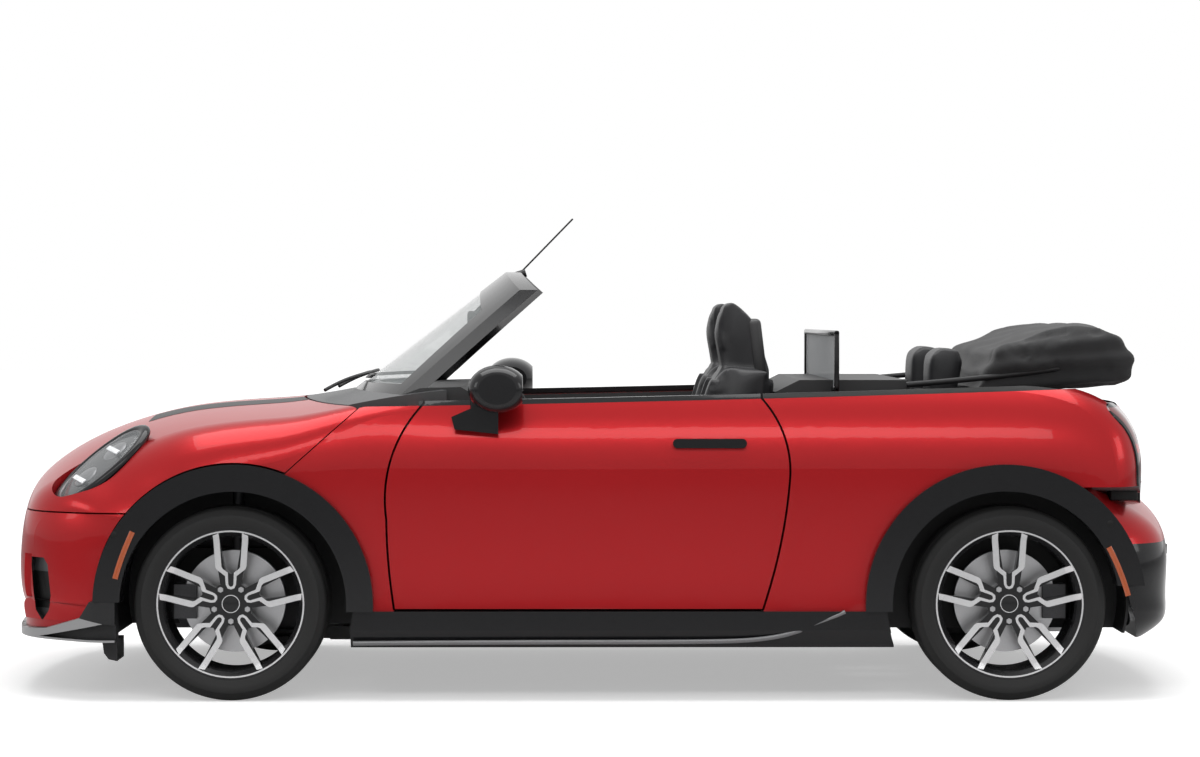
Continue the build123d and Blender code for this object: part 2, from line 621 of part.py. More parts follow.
def make_rear_valance():
    view = polygon((REAR - 150, 190), (REAR - FAR, 190), (REAR - FAR, -122), (REAR - 430, -122), (REAR - 330, 190))
    view -= arch_circle(1, ARCH_OUTER + PANEL_GAP) & Pos(REAR, TRIM_END + FAR / 2 - PANEL_GAP) * Rectangle(2 * FAR, FAR)
    skin = (REAR_BUMPER_BLOCK & slab(view, -FAR, FAR)) - REAR_BUMPER_INSIDE
    skin -= slab(Pos(REAR, 0) * Circle(WELL_RADIUS + HOUSING_WALL + 1), -TRIM_SEAT, TRIM_SEAT)
    pad = block(REAR - REAR_OVERHANG, REAR - REAR_OVERHANG + 40, -260, 260, 118, 150)
    tips = Pos(REAR - 560, 68, -60) * Rot(0, 90, 0) * Cylinder(46, 300)
    return largest(skin) + (pad - REAR_BUMPER_INSIDE) - tips - mirrored(tips)


# ---------------------------------------------------------------- arches, sills, housings
def make_arch_trims():
    band_front = arch_circle(0, ARCH_OUTER) - arch_circle(0, ARCH_OPENING)
    band_front -= polygon((-FAR, SILL_TOP), (0, SILL_TOP), (0, TRIM_JOINT), (FAR, TRIM_JOINT), (FAR, -FAR), (-FAR, -FAR))
    band_rear = arch_circle(1, ARCH_OUTER) - arch_circle(1, ARCH_OPENING)
    band_rear -= polygon((FAR, SILL_TOP), (REAR, SILL_TOP), (REAR, TRIM_END),
                         (REAR - FAR, TRIM_END), (REAR - FAR, -FAR), (FAR, -FAR))
    trims = [slab(band, TRIM_SEAT, TRIM_FACE) for band in (band_front, band_rear)]
    return [solid for trim in trims for solid in both_sides(trim)]


def make_sill():
    front, rear = -384, REAR + 370
    view = polygon((CABIN_HALF, SILL_TOP), (HALF_WIDTH + 6, SILL_TOP), (HALF_WIDTH + 8, SILL_TOP - 60),
                   (HALF_WIDTH - 20, SILL_BOTTOM), (CABIN_HALF, SILL_BOTTOM + 10))
    sill = beam(view, rear, front)
    sill -= slab(Circle(WELL_RADIUS + HOUSING_WALL) + Pos(REAR, 0) * Circle(WELL_RADIUS + HOUSING_WALL), 0, FAR)
    return sill


def housing(axle_x, inner_y, inner_hole, outer_y):
    """Half-round wheel housing with an inner wall, open towards the wheel and below."""
    keep = Pos(axle_x, 350) * Rectangle(2 * FAR, 900)
    rim = Pos(axle_x, 0) * ring(WELL_RADIUS + HOUSING_WALL, WELL_RADIUS) & keep
    wall = Pos(axle_x, 0) * ring(WELL_RADIUS + HOUSING_WALL, inner_hole) & keep
    return slab(rim, inner_y, outer_y) + slab(wall, inner_y, inner_y + HOUSING_WALL)


FRONT_HOUSING_Y = 430
REAR_HOUSING_Y = 590


# ---------------------------------------------------------------- floor and structure
TUNNEL_HALF = 130
TUNNEL_TOP = FLOOR_TOP + 150


def make_floor():
    front_x, rear_x = -420, REAR - 465
    wall = FLOOR_WALL
    low, boot = FLOOR_TOP, BOOT_FLOOR
    kick = REAR + 595
    side = polygon(
        (front_x, 560), (front_x, low - wall), (kick - 12, low - wall), (kick + 10 - 190, boot - wall),
        (kick + 10 - 190, boot), (kick, low), (front_x - wall, low), (front_x - wall, 560))
    pan = slab(side, -CABIN_HALF, CABIN_HALF)
    boot_floor = block(rear_x, kick - 180, -REAR_HOUSING_Y, REAR_HOUSING_Y, boot - wall, boot)
    tail_wall = block(rear_x - 16, rear_x, -REAR_HOUSING_Y, REAR_HOUSING_Y, boot - wall, BUMPER_TOP - 14)
    tail_wall = REAR_BUMPER_INSIDE & tail_wall
    bulkhead = slab(polygon((REAR + 345, boot - 5), (REAR + 195, DECK_TOP - 5), (REAR + 170, DECK_TOP - 5), (REAR + 315, boot - 5)),
                    -REAR_HOUSING_Y, REAR_HOUSING_Y)
    deck = BODY_INSIDE & block(REAR - 400, REAR + 200, -CABIN_HALF, CABIN_HALF, DECK_TOP - 14, DECK_TOP)
    tunnel = block(kick, front_x - wall, -TUNNEL_HALF, TUNNEL_HALF, low - 1, TUNNEL_TOP)
    hollow_half = TUNNEL_HALF - 18
    hollow = block(kick - 100, front_x - wall - 10, -hollow_half, hollow_half, low - wall - 5, TUNNEL_TOP - 18)
    shelf = pan + boot_floor + tail_wall + bulkhead + deck + tunnel - hollow
    rocker = block(DOOR_REAR + 40, front_x - wall, CABIN_HALF - 62, CABIN_HALF, low - wall, SILL_TOP + 14)
    shelf += rocker + mirrored(rocker)
    long, wide, deep = JACK_SIZE
    for x in JACK_X:
        pad = block(x - long / 2, x + long / 2, JACK_Y - wide / 2, JACK_Y + wide / 2,
                    low - wall - deep, low - wall + 2)
        shelf += pad + mirrored(pad)
    x, z = TAILGATE_HINGE
    for y in (-TAIL_HALF + 150, TAIL_HALF - 150):
        stand = block(x - 6, rear_x, y - HINGE_HALF, y + HINGE_HALF, BUMPER_TOP - 90, z)
        shelf += stand - rod(x, z, HINGE_BARREL, -FAR, FAR) + fixed_barrel(x, z, y)
    return shelf


RAIL_Y = (370, FRONT_HOUSING_Y)
KINGPIN_LOW = (676, -130)      # Y and Z of the lower ball joint
KINGPIN_TOP = (590, 374)


def kingpin_point(height):
    share = (height - KINGPIN_LOW[1]) / (KINGPIN_TOP[1] - KINGPIN_LOW[1])
    return (0, KINGPIN_LOW[0] + share * (KINGPIN_TOP[0] - KINGPIN_LOW[0]), height)


def make_front_frame():
    """Rails from the firewall to the bumper beam, cross member, arms and lamp brackets."""
    rail = block(-420, 640, *RAIL_Y, 60, 150)
    member = block(-230, 120, -RAIL_Y[1] + 30, RAIL_Y[1] - 30, -165, -125)
    post = block(-100, 20, RAIL_Y[0] + 10, RAIL_Y[1] - 8, -150, 80)
    carrier = block(-470, -200, 200, 300, -165, -125)
    arm_y = KINGPIN_LOW[0]
    arm = column(polygon((-180, 380), (60, 380), (18, arm_y), (-18, arm_y)), -160, -142)
    socket = bar_between(kingpin_point(-160), kingpin_point(-132 - RUNNING_GAP), 17)
    lamp_post = block(310, 370, RAIL_Y[0], RAIL_Y[1], 100, 450) + block(310, 370, RAIL_Y[0], 620, 395, 450)
    lamp_post -= lamp_prism(0, LAMP_DEPTH, LAMP_DEPTH)
    half = rail + post + carrier + arm + socket + lamp_post
    across = BODY_INSIDE & block(600, 689, -560, 560, 60, 150)
    return half + mirrored(half) + member + across


def make_engine():
    return block(-215, 330, -340, 340, -125, 470)


def make_rear_axle():
    tube = rod(REAR, 0, 34, -560, 560)
    hub = rod(REAR, 0, 52, 540, 690) + rod(REAR, 0, SPINDLE_RADIUS, 690, 738)
    trailing = block(REAR, REAR + 430, 470, 520, -60, -10)
    trailing += block(REAR + 370, REAR + 410, 470, 520, -60, BOOT_FLOOR - FLOOR_WALL)
    caliper = brake_caliper(REAR, -1, 30)
    half = hub + trailing + caliper
    return tube + half + mirrored(half)


# ---------------------------------------------------------------- wheels
WHEEL_Y = TRACK / 2
DISC_Y = (WHEEL_Y - 46, WHEEL_Y - 24)
DISC_RADIUS = 165
FORKS = 5


def brake_caliper(axle_x, ahead, shift):
    """Block over the edge of the brake disc, on a bracket to the hub carrier."""
    low, high = DISC_RADIUS - 45, DISC_RADIUS + 28
    view = Pos(axle_x + ahead * (low + high) / 2, 0) * Rectangle(high - low, 110)
    body = slab(view, DISC_Y[0] - 22, DISC_Y[1] + 22)
    body -= rod(axle_x, 0, DISC_RADIUS + 6, DISC_Y[0] - 6, DISC_Y[1] + 6)
    bracket = slab(Pos(axle_x + ahead * (low + 30) / 2, 0) * Rectangle(low + 30, 60), DISC_Y[0] - 34, DISC_Y[0] - 18)
    return body + bracket


def make_tyre():
    half = TYRE_WIDTH / 2
    bead = RIM_RADIUS - 14
    outline = [
        Polyline((bead, -RIM_WIDTH / 2 + 8), (RIM_RADIUS, -RIM_WIDTH / 2 + 7), (RIM_RADIUS + 2, -half + 10)),
        ThreePointArc((RIM_RADIUS + 2, -half + 10), (TYRE_RADIUS - 34, -half), (TYRE_RADIUS - 12, -half + 9)),
        ThreePointArc((TYRE_RADIUS - 12, -half + 9), (TYRE_RADIUS - 3, -half + 18), (TYRE_RADIUS, -half + 32)),
        Line((TYRE_RADIUS, -half + 32), (TYRE_RADIUS, half - 32)),
        ThreePointArc((TYRE_RADIUS, half - 32), (TYRE_RADIUS - 3, half - 18), (TYRE_RADIUS - 12, half - 9)),
        ThreePointArc((TYRE_RADIUS - 12, half - 9), (TYRE_RADIUS - 34, half), (RIM_RADIUS + 2, half - 10)),
        Polyline((RIM_RADIUS + 2, half - 10), (RIM_RADIUS, RIM_WIDTH / 2 - 7), (bead, RIM_WIDTH / 2 - 8),
                 (bead, -RIM_WIDTH / 2 + 8)),
    ]
    return revolve(Plane.XY * make_face(outline), Axis.Y)


def fork():
    """One two-pronged spoke, drawn pointing along +X of a side view."""
    prong = polygon((60, 14), (110, 20), (BARREL_RADIUS + 6, 38), (BARREL_RADIUS + 6, 60), (100, 40), (40, 30))
    neck = polygon((20, -30), (20, 30), (62, 30), (112, 30), (96, 0), (112, -30), (62, -30))
    return prong + mirror(prong, about=Plane.XZ) + neck


def make_rim():
    """Barrel, flanges, five forked spokes, brake disc and a bored hub, as one turning piece."""
    half = RIM_WIDTH / 2
    face_y, back_y = half - 16, half - 50
    barrel = polygon(
        (RIM_RADIUS, -half), (RIM_RADIUS, -half + 7), (RIM_RADIUS - 14, -half + 8), (RIM_RADIUS - 14, half - 8), (RIM_RADIUS, half - 7),
        (RIM_RADIUS, half), (RIM_RADIUS - 16, half), (BARREL_RADIUS + 4, half - 14), (BARREL_RADIUS, half - 40),
        (BARREL_RADIUS, -half + 16), (BARREL_RADIUS + 8, -half))
    wheel = revolve(Plane.XY * barrel, Axis.Y)
    spokes = Sketch() + [Rot(0, 0, 90 + 72 * i) * fork() for i in range(FORKS)]
    wheel += slab(spokes + Circle(HUB_RADIUS + 8), back_y, face_y)
    wheel += rod(0, 0, HUB_RADIUS, DISC_Y[0] - WHEEL_Y, back_y + 1)
    wheel += rod(0, 0, DISC_RADIUS, DISC_Y[0] - WHEEL_Y, DISC_Y[1] - WHEEL_Y)
    wheel -= rod(0, 0, SPINDLE_RADIUS + RUNNING_GAP, -FAR, 0)
    return wheel


def make_knuckle():
    """Hub carrier with its spindle, the strut leg on the steering axis and the brake caliper."""
    carrier = rod(0, 0, 50, 640, 690) + rod(0, 0, SPINDLE_RADIUS, 690, 738)
    leg = bar_between(kingpin_point(-132), kingpin_point(372), 19)
    steering_arm = block(-150, 0, 640, 665, -20, 10)
    return carrier + leg + steering_arm + brake_caliper(0, 1, 0)


# ---------------------------------------------------------------- windshield
def raked(sketch):
    """Extrude a plan shape up and back along the windshield's rake."""
    run = Vector(-cos(radians(GLASS_RAKE)), 0, sin(radians(GLASS_RAKE)))
    start = Pos(0, 0, 600) * sketch
    shift = 60 / tan(radians(GLASS_RAKE))
    return extrude(Pos(shift, 0, 0) * start, 900, dir=run)


def screen_view(half_low, half_high, low, top):
    """Windshield outline from the front, narrower and arched at the top."""
    drop = 66
    edges = [
        Polyline((-half_high, top - drop), (-half_low, low), (half_low, low), (half_high, top - drop)),
        ThreePointArc((half_high, top - drop), (0, top), (-half_high, top - drop)),
    ]
    return make_face(edges)


def screen_ring(outward, inward):
    radius = GLASS_ARC[1]
    circle = Pos(GLASS_ARC[0], 0) * ring(radius + outward, radius - inward)
    return circle & Pos(-450, 0) * Rectangle(1100, 2 * CABIN_HALF)


GLASS_VIEW = screen_view(612, 500, 700, HEADER_TOP - 66)


def make_windshield_frame():
    """Pillars and header with the cabin mirror on its stalk and the rod aerial."""
    view = screen_view(CABIN_HALF, 588, 590, HEADER_TOP) - GLASS_VIEW
    frame = raked(screen_ring(6, FRAME_DEPTH)) & beam(view, -2000, 200)
    frame -= BODY
    frame = largest(frame)
    aerial = bar_between((-905, 30, HEADER_TOP - 8), (-1092, 30, 1258), 3) + bar_between((-880, 30, HEADER_TOP - 18), (-930, 30, HEADER_TOP - 2), 14)
    stalk = bar_between((-850, 0, HEADER_TOP - 40), (-752, 0, 930), 8)
    mirror_body = slab(Pos(-745, 905) * RectangleRounded(28, 70, 12), -125, 125)
    return frame + aerial + stalk + mirror_body


def make_glass():
    pane = raked(screen_ring(0, GLASS)) & beam(GLASS_VIEW, -2000, 200)
    return largest(pane)


def make_wipers():
    arms = []
    for y_tip in (-250, -620):
        blade = raked(Pos(GLASS_ARC[0], 0) * ring(GLASS_ARC[1] + 20, GLASS_ARC[1] + 6.3))
        blade &= block(-700, 0, min(y_tip, y_tip + 480), max(y_tip, y_tip + 480), 712, 724)
        arms.append(blade)
    return arms


# ---------------------------------------------------------------- cabin
WHEEL_HUB = Vector(-954, 360, 560)
COLUMN_RISE = 25


def make_dashboard():
    profile = polygon((-450, 380), (-450, 560), (-500, 652), (-600, 688), (-730, 692), (-800, 655), (-822, 570),
                      (-790, 430), (-640, 370))
    dash = slab(profile, -690, 690)
    run = Vector(cos(radians(COLUMN_RISE)), 0, -sin(radians(COLUMN_RISE)))
    start = WHEEL_HUB + run * 22.3
    shroud = Solid.make_cylinder(34, 170, Plane(start + run * 18, z_dir=run))
    shaft = Solid.make_cylinder(12, 60, Plane(start - run * 30, z_dir=run))
    console = block(-1700, -640, -110, 110, TUNNEL_TOP, 175) + block(-860, -640, -110, 110, 100, 480)
    return dash + shroud + shaft + console


def make_steering_wheel():
    run = Vector(cos(radians(COLUMN_RISE)), 0, -sin(radians(COLUMN_RISE)))
    plane = Plane(WHEEL_HUB, x_dir=Vector(0, 1, 0), z_dir=run)
    rim = plane * Torus(172, 14)
    hub = extrude(plane * Circle(52), 22) - Solid.make_cylinder(12 + RUNNING_GAP, 60, Plane(WHEEL_HUB - run * 12, z_dir=run))
    spokes = [extrude(plane * (Rot(0, 0, turn) * (Pos(110, 0) * Rectangle(130, 30))), 12) for turn in (0, 90, 180)]
    return rim + hub + spokes


def make_front_seat():
    side = polygon(
        (-965, 20), (-955, 190), (-1000, 215), (-1400, 170), (-1560, 690), (-1602, 760), (-1742, 748), (-1700, 400), (-1610, 60), (-1600, 20))
    head = polygon((-1600, 740), (-1578, 861), (-1576, 961), (-1612, 983), (-1648, 956), (-1690, 919), (-1742, 740))
    runners = block(-1560, -1000, 180, 215, FLOOR_TOP, 20) + block(-1560, -1000, 500, 535, FLOOR_TOP, 20)
    return slab(side, TUNNEL_HALF + 2, 610) + slab(head, 235, 490) + runners


def make_rear_seat():
    side = polygon((-1905, 135), (-1905, 240), (-1960, 260), (-2090, 215), (-2200, 640), (-2290, 652), (-2296, 600), (-2165, 135))
    seat = slab(side, -560, 560)
    head = polygon((-2284, 640), (-2290, 800), (-2330, 833), (-2390, 820), (-2404, 780), (-2380, 668), (-2300, 640))
    rests = [slab(head, y - 130, y + 130) for y in (-300, 300)]
    return seat + rests


def make_wind_deflector():
    frame_view = Pos(0, 775) * (RectangleRounded(1120, 200, 50) - RectangleRounded(1084, 164, 34))
    mesh = Pos(0, 775) * RectangleRounded(1090, 170, 36)
    frame = beam(frame_view, -1959, -1943) + beam(mesh, -1953, -1949)
    cover = slab(polygon((-1760, 672), (-1840, 712), (-2195, 712), (-2210, 690), (-2190, 675)), -560, 560)
    cover -= slab(polygon((-1790, 660), (-1850, 700), (-2180, 700), (-2180, 660)), -540, 540)
    for x in (-1830, -2160):
        foot = block(x, x + 30, 540, 560, 630, 690) + block(x, x + 30, 540, CABIN_HALF, 630, 645)
        cover += foot + mirrored(foot)
    return frame + cover


def make_folded_top():
    pile = polygon((-2450, 740), (-2470, 800), (-2620, 860), (-2760, 886), (-2860, 878), (-2930, 810), (-2950, 760), (-2925, 700), (-2400, 668.3), (-2425, 700))
    return slab(pile, -620, 620)


# ---------------------------------------------------------------- exhaust
PIPE_RADIUS = 28
EXHAUST_PATH = [
    (-250, 0, -172), (-560, 0, -172), (REAR + 560, 0, -172), (REAR + 300, 0, -98), (REAR - 200, 0, -98)]


def make_exhaust():
    pipe = [bar_between(a, b, PIPE_RADIUS) for a, b in zip(EXHAUST_PATH, EXHAUST_PATH[1:])]
    bends = [Pos(*p) * Sphere(PIPE_RADIUS) for p in EXHAUST_PATH[1:-1]]
    muffler = block(REAR - 380, REAR - 180, -330, 330, -140, 10)
    tips = [Pos(REAR - 470, y, -60) * Rot(0, 90, 0) * Cylinder(38, 210) for y in (-68, 68)]
    hanger_top = BOOT_FLOOR - FLOOR_WALL
    hangers = [block(REAR - 300, REAR - 285, y - 8, y + 8, 5, hanger_top) for y in (-250, 250)]
    return muffler + pipe + bends + tips + hangers


# ---------------------------------------------------------------- write every piece
os.makedirs("parts", exist_ok=True)
rear_bumper = make_rear_bumper()
valance = make_rear_valance()
floor = make_floor() - rear_bumper - valance
save("floor_pan", floor)
save("front_frame", make_front_frame())
save("engine_block", make_engine())
save("rear_axle", make_rear_axle())
save("exhaust", make_exhaust())
front_housings = both_sides(housing(0, FRONT_HOUSING_Y, 236, TRIM_SEAT))
rear_housings = both_sides(housing(REAR, REAR_HOUSING_Y, 120, TRIM_SEAT))
save("wheel_housings", *front_housings, *rear_housings)
save("side_panels", *both_sides(make_side_panel()))
save("quarter_panels", *both_sides(make_quarter_panel()))
save("sills", *both_sides(make_sill()))
save("arch_trims", *make_arch_trims())
save("front_bumper", make_front_bumper())
save("grille", make_grille())
save("front_lip", make_front_lip())
save("headlights", *both_sides(make_headlight()))
cowl = make_cowl()
save("cowl", cowl)
save("hood", make_hood())
save("tailgate", make_tailgate())
save("tail_lights", *both_sides(make_tail_lamp()))
save("rear_bumper", rear_bumper)
save("rear_valance", valance)
door = make_door()
save("door_left", door)
save("door_right", mirrored(door))
fittings = make_door_fittings()
save("door_fittings_left", *fittings)
save("door_fittings_right", *[mirrored(piece) for piece in fittings])
fixed_view = belt_region(FAR) - DOOR_OPENING
save("belt_rails", *[s for s in both_sides(belt_strip(fixed_view & Pos(-1800, 500) * Rectangle(2 * FAR + 600, 2000)))])
screen_frame = make_windshield_frame()
save("windshield_frame", screen_frame)
save("windshield_glass", make_glass())
save("wipers", *make_wipers())
save("dashboard", make_dashboard() - cowl - screen_frame)
save("steering_wheel", make_steering_wheel())
save("front_seats", *both_sides(make_front_seat()))
save("rear_seat", make_rear_seat() - floor)
save("wind_deflector", make_wind_deflector())
save("folded_top", make_folded_top())
knuckle = make_knuckle()
save("knuckle_left", knuckle)
save("knuckle_right", mirrored(knuckle))
tyre, rim = make_tyre(), make_rim()
for place_name, axle_x, side in (("front_left", 0, 1), ("front_right", 0, -1), ("rear_left", REAR, 1), ("rear_right", REAR, -1)):
    where = Pos(axle_x, WHEEL_Y, 0)
    for kind, piece in (("tyre", tyre), ("rim", rim)):
        placed = where * piece
        save(f"{kind}_{place_name}", placed if side > 0 else mirrored(placed))
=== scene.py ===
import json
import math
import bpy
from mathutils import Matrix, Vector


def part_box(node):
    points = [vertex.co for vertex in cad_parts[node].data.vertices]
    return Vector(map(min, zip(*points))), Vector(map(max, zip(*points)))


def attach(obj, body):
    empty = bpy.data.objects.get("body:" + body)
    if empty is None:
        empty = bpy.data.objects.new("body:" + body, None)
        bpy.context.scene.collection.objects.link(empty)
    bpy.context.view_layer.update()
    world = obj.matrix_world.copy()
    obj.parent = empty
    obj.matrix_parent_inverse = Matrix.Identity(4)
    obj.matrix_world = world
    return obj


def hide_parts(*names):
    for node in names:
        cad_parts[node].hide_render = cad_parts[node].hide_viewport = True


bl_info = {
    "name": "Open-top car",
    "version": (1, 0, 0),
    "blender": (4, 5, 0),
    "location": "3D View > Sidebar > Car",
    "description": "Dresses the car's construction model with its finishes, wheels, lamps, trim and cabin",
    "category": "Object",
}

import bmesh
import bpy
from mathutils import Matrix, Vector
from mathutils.bvhtree import BVHTree

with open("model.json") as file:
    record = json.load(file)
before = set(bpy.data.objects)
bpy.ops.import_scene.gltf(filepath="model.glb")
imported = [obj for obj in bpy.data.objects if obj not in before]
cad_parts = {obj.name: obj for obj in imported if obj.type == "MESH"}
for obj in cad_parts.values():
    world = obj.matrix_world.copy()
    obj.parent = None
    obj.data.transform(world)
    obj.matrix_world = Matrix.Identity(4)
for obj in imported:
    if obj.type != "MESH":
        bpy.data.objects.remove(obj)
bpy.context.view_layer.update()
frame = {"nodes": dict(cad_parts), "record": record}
CORNERS = ("front_left", "front_right", "rear_left", "rear_right")
SIDES = (("left", 1), ("right", -1))
FACING = "facing"
finishes = {}


# ---------------------------------------------------------------- sizes and colours
class CarSizes(bpy.types.PropertyGroup):
    """Sizes of the pieces that only the dressed model has."""

    tread_groove: bpy.props.FloatProperty(
        name="Tread groove", description="Depth of the tyre's round grooves", default=0.006, unit="LENGTH")
    bolt_circle: bpy.props.FloatProperty(
        name="Bolt circle", description="Radius of the wheel bolts' circle", default=0.056, unit="LENGTH")
    cap_radius: bpy.props.FloatProperty(
        name="Cap radius", description="Radius of the wheel's centre cap", default=0.029, unit="LENGTH")
    bezel: bpy.props.FloatProperty(
        name="Lamp bezel", description="Thickness of the ring round each headlight", default=0.012,
        unit="LENGTH")
    stripe_near: bpy.props.FloatProperty(
        name="Stripe inner edge", description="Distance from the middle to a hood stripe", default=0.13,
        unit="LENGTH")
    stripe_far: bpy.props.FloatProperty(
        name="Stripe outer edge", description="Distance from the middle to a stripe's far edge", default=0.33,
        unit="LENGTH")
    stripe_front: bpy.props.FloatProperty(
        name="Stripe front end", description="How far forward the hood stripes reach", default=1.50,
        unit="LENGTH")


class CarColours(bpy.types.PropertyGroup):
    """Colours of the main finishes."""

    paint: bpy.props.FloatVectorProperty(
        name="Paint", description="Body colour", subtype="COLOR", default=(0.37, 0.008, 0.011))
    trim: bpy.props.FloatVectorProperty(
        name="Trim", description="Gloss trim round the arches", subtype="COLOR",
        default=(0.010, 0.010, 0.011))
    plastic: bpy.props.FloatVectorProperty(
        name="Plastic", description="Matt outer plastic", subtype="COLOR", default=(0.018, 0.018, 0.019))
    cabin: bpy.props.FloatVectorProperty(
        name="Cabin", description="Seats and cabin trim", subtype="COLOR", default=(0.022, 0.022, 0.024))
    roof: bpy.props.FloatVectorProperty(
        name="Roof", description="Folded fabric roof", subtype="COLOR", default=(0.010, 0.010, 0.011))
    silver: bpy.props.FloatVectorProperty(
        name="Silver", description="Machined faces and strips", subtype="COLOR", default=(0.62, 0.62, 0.63))


# ---------------------------------------------------------------- finishes
def finish(name, colour, rough, metal=0.0, shade=0.8, grain=60.0, depth=0.0, relief=0.0005, coat=0.0,
           coat_rough=0.05, rough_swing=0.08, sheen=0.0, weave=0.0, gloss=0.5):
    """A procedural surface: colour and roughness vary with a grain, and a bump gives its relief."""
    material = bpy.data.materials.new(name)
    material.use_nodes = True
    nodes, links = material.node_tree.nodes, material.node_tree.links
    shader = nodes["Principled BSDF"]
    place = nodes.new("ShaderNodeTexCoord")
    noise = nodes.new("ShaderNodeTexNoise")
    noise.inputs["Scale"].default_value = grain
    noise.inputs["Detail"].default_value = 6.0
    links.new(place.outputs["Object"], noise.inputs["Vector"])
    mix = nodes.new("ShaderNodeMix")
    mix.data_type = "RGBA"
    mix.inputs["A"].default_value = (*[c * shade for c in colour], 1)
    mix.inputs["B"].default_value = (*colour, 1)
    links.new(noise.outputs["Fac"], mix.inputs["Factor"])
    links.new(mix.outputs["Result"], shader.inputs["Base Color"])
    span = nodes.new("ShaderNodeMapRange")
    span.inputs["To Min"].default_value = max(0.02, rough - rough_swing)
    span.inputs["To Max"].default_value = min(1.0, rough + rough_swing)
    links.new(noise.outputs["Fac"], span.inputs["Value"])
    links.new(span.outputs["Result"], shader.inputs["Roughness"])
    shader.inputs["Metallic"].default_value = metal
    shader.inputs["Specular IOR Level"].default_value = gloss
    shader.inputs["Coat Weight"].default_value = coat
    shader.inputs["Coat Roughness"].default_value = coat_rough
    shader.inputs["Sheen Weight"].default_value = sheen
    height = noise.outputs["Fac"]
    if weave:
        height = woven(nodes, links, place, weave)
    if depth:
        bump = nodes.new("ShaderNodeBump")
        bump.inputs["Strength"].default_value = depth
        bump.inputs["Distance"].default_value = relief
        links.new(height, bump.inputs["Height"])
        links.new(bump.outputs["Normal"], shader.inputs["Normal"])
    return material


def woven(nodes, links, place, threads):
    """Height of crossed threads, from two wave patterns."""
    waves = []
    for direction in ("X", "Z"):
        wave = nodes.new("ShaderNodeTexWave")
        wave.bands_direction = direction
        wave.inputs["Scale"].default_value = threads
        wave.inputs["Distortion"].default_value = 0.4
        links.new(place.outputs["Object"], wave.inputs["Vector"])
        waves.append(wave)
    cross = nodes.new("ShaderNodeMath")
    cross.operation = "MULTIPLY"
    links.new(waves[0].outputs["Fac"], cross.inputs[0])
    links.new(waves[1].outputs["Fac"], cross.inputs[1])
    return cross.outputs["Value"]


def glazing(name, colour, alpha, rough=0.03, ripple=9.0):
    """Clear or tinted pane that lets what lies behind show through."""
    material = finish(name, colour, rough, shade=0.9, grain=ripple, rough_swing=0.01, depth=0.02,
                      relief=0.001)
    shader = material.node_tree.nodes["Principled BSDF"]
    shader.inputs["Alpha"].default_value = alpha
    shader.inputs["IOR"].default_value = 1.5
    shader.inputs["Coat Weight"].default_value = 0.4
    return material


def make_finishes(colours):
    finishes.update({
        "paint": finish("car_paint", colours.paint, 0.30, metal=0.55, shade=0.93, grain=900, coat=0.25,
                        coat_rough=0.02, rough_swing=0.03, depth=0.02, relief=0.0002, gloss=0.15),
        "trim": finish("gloss_trim", colours.trim, 0.16, shade=0.8, grain=120, coat=0.15, coat_rough=0.05,
                       rough_swing=0.04, gloss=0.22),
        "plastic": finish("grained_plastic", colours.plastic, 0.46, shade=0.7, grain=420, depth=0.25,
                          relief=0.0004, gloss=0.25),
        "structure": finish("coated_steel", (0.02, 0.02, 0.021), 0.55, shade=0.7, grain=40, depth=0.1),
        "cast": finish("cast_iron", (0.09, 0.09, 0.095), 0.5, metal=0.7, shade=0.6, grain=180, depth=0.3),
        "steel": finish("brushed_steel", (0.42, 0.42, 0.43), 0.32, metal=1.0, shade=0.8, grain=260,
                        depth=0.1),
        "silver": finish("machined_silver", colours.silver, 0.24, metal=0.85, shade=0.9, grain=700,
                         depth=0.05),
        "lip_silver": finish("satin_silver", (0.30, 0.30, 0.305), 0.34, metal=0.5, shade=0.9, grain=500,
                             depth=0.05),
        "dark_silver": finish("dark_silver", (0.16, 0.16, 0.165), 0.3, metal=0.6, shade=0.85, grain=300),
        "wheel_black": finish("wheel_black", (0.012, 0.012, 0.013), 0.24, shade=0.8, grain=150, coat=0.1,
                              gloss=0.25),
        "rubber": finish("tyre_rubber", (0.011, 0.011, 0.011), 0.62, shade=0.7, grain=300, depth=0.3,
                         relief=0.0006, gloss=0.3),
        "seal": finish("rubber_seal", (0.006, 0.006, 0.006), 0.5, shade=0.7, grain=90, depth=0.1, gloss=0.2),
        "leather": finish("cabin_leather", colours.cabin, 0.42, shade=0.6, grain=520, depth=0.45,
                          relief=0.0007, gloss=0.3),
        "cabin": finish("cabin_plastic", (0.016, 0.016, 0.017), 0.5, shade=0.7, grain=350, depth=0.3),
        "carpet": finish("carpet", (0.012, 0.012, 0.013), 0.95, shade=0.4, grain=900, depth=0.9,
                         relief=0.002),
        "canvas": finish("roof_canvas", colours.roof, 0.85, shade=0.5, grain=700, depth=0.5, relief=0.0008,
                         sheen=0.15, weave=160),
        "cowl": finish("cowl_grey", (0.045, 0.046, 0.048), 0.42, shade=0.8, grain=200, depth=0.2),
        "glass": glazing("screen_glass", (0.32, 0.36, 0.36), 0.22),
        "lens": glazing("clear_lens", (0.75, 0.78, 0.80), 0.16),
        "red_lens": finish("red_lens", (0.16, 0.002, 0.004), 0.12, shade=0.55, grain=160, coat=0.5,
                           coat_rough=0.03),
        "red_glow": finish("red_bars", (0.55, 0.012, 0.016), 0.15, shade=0.8, grain=90, coat=0.5),
        "amber": glazing("amber_lens", (0.42, 0.07, 0.006), 0.95, rough=0.1, ripple=220),
        "white": finish("lamp_white", (0.85, 0.86, 0.88), 0.2, shade=0.95, grain=30),
        "mesh": mesh_finish(),
    })


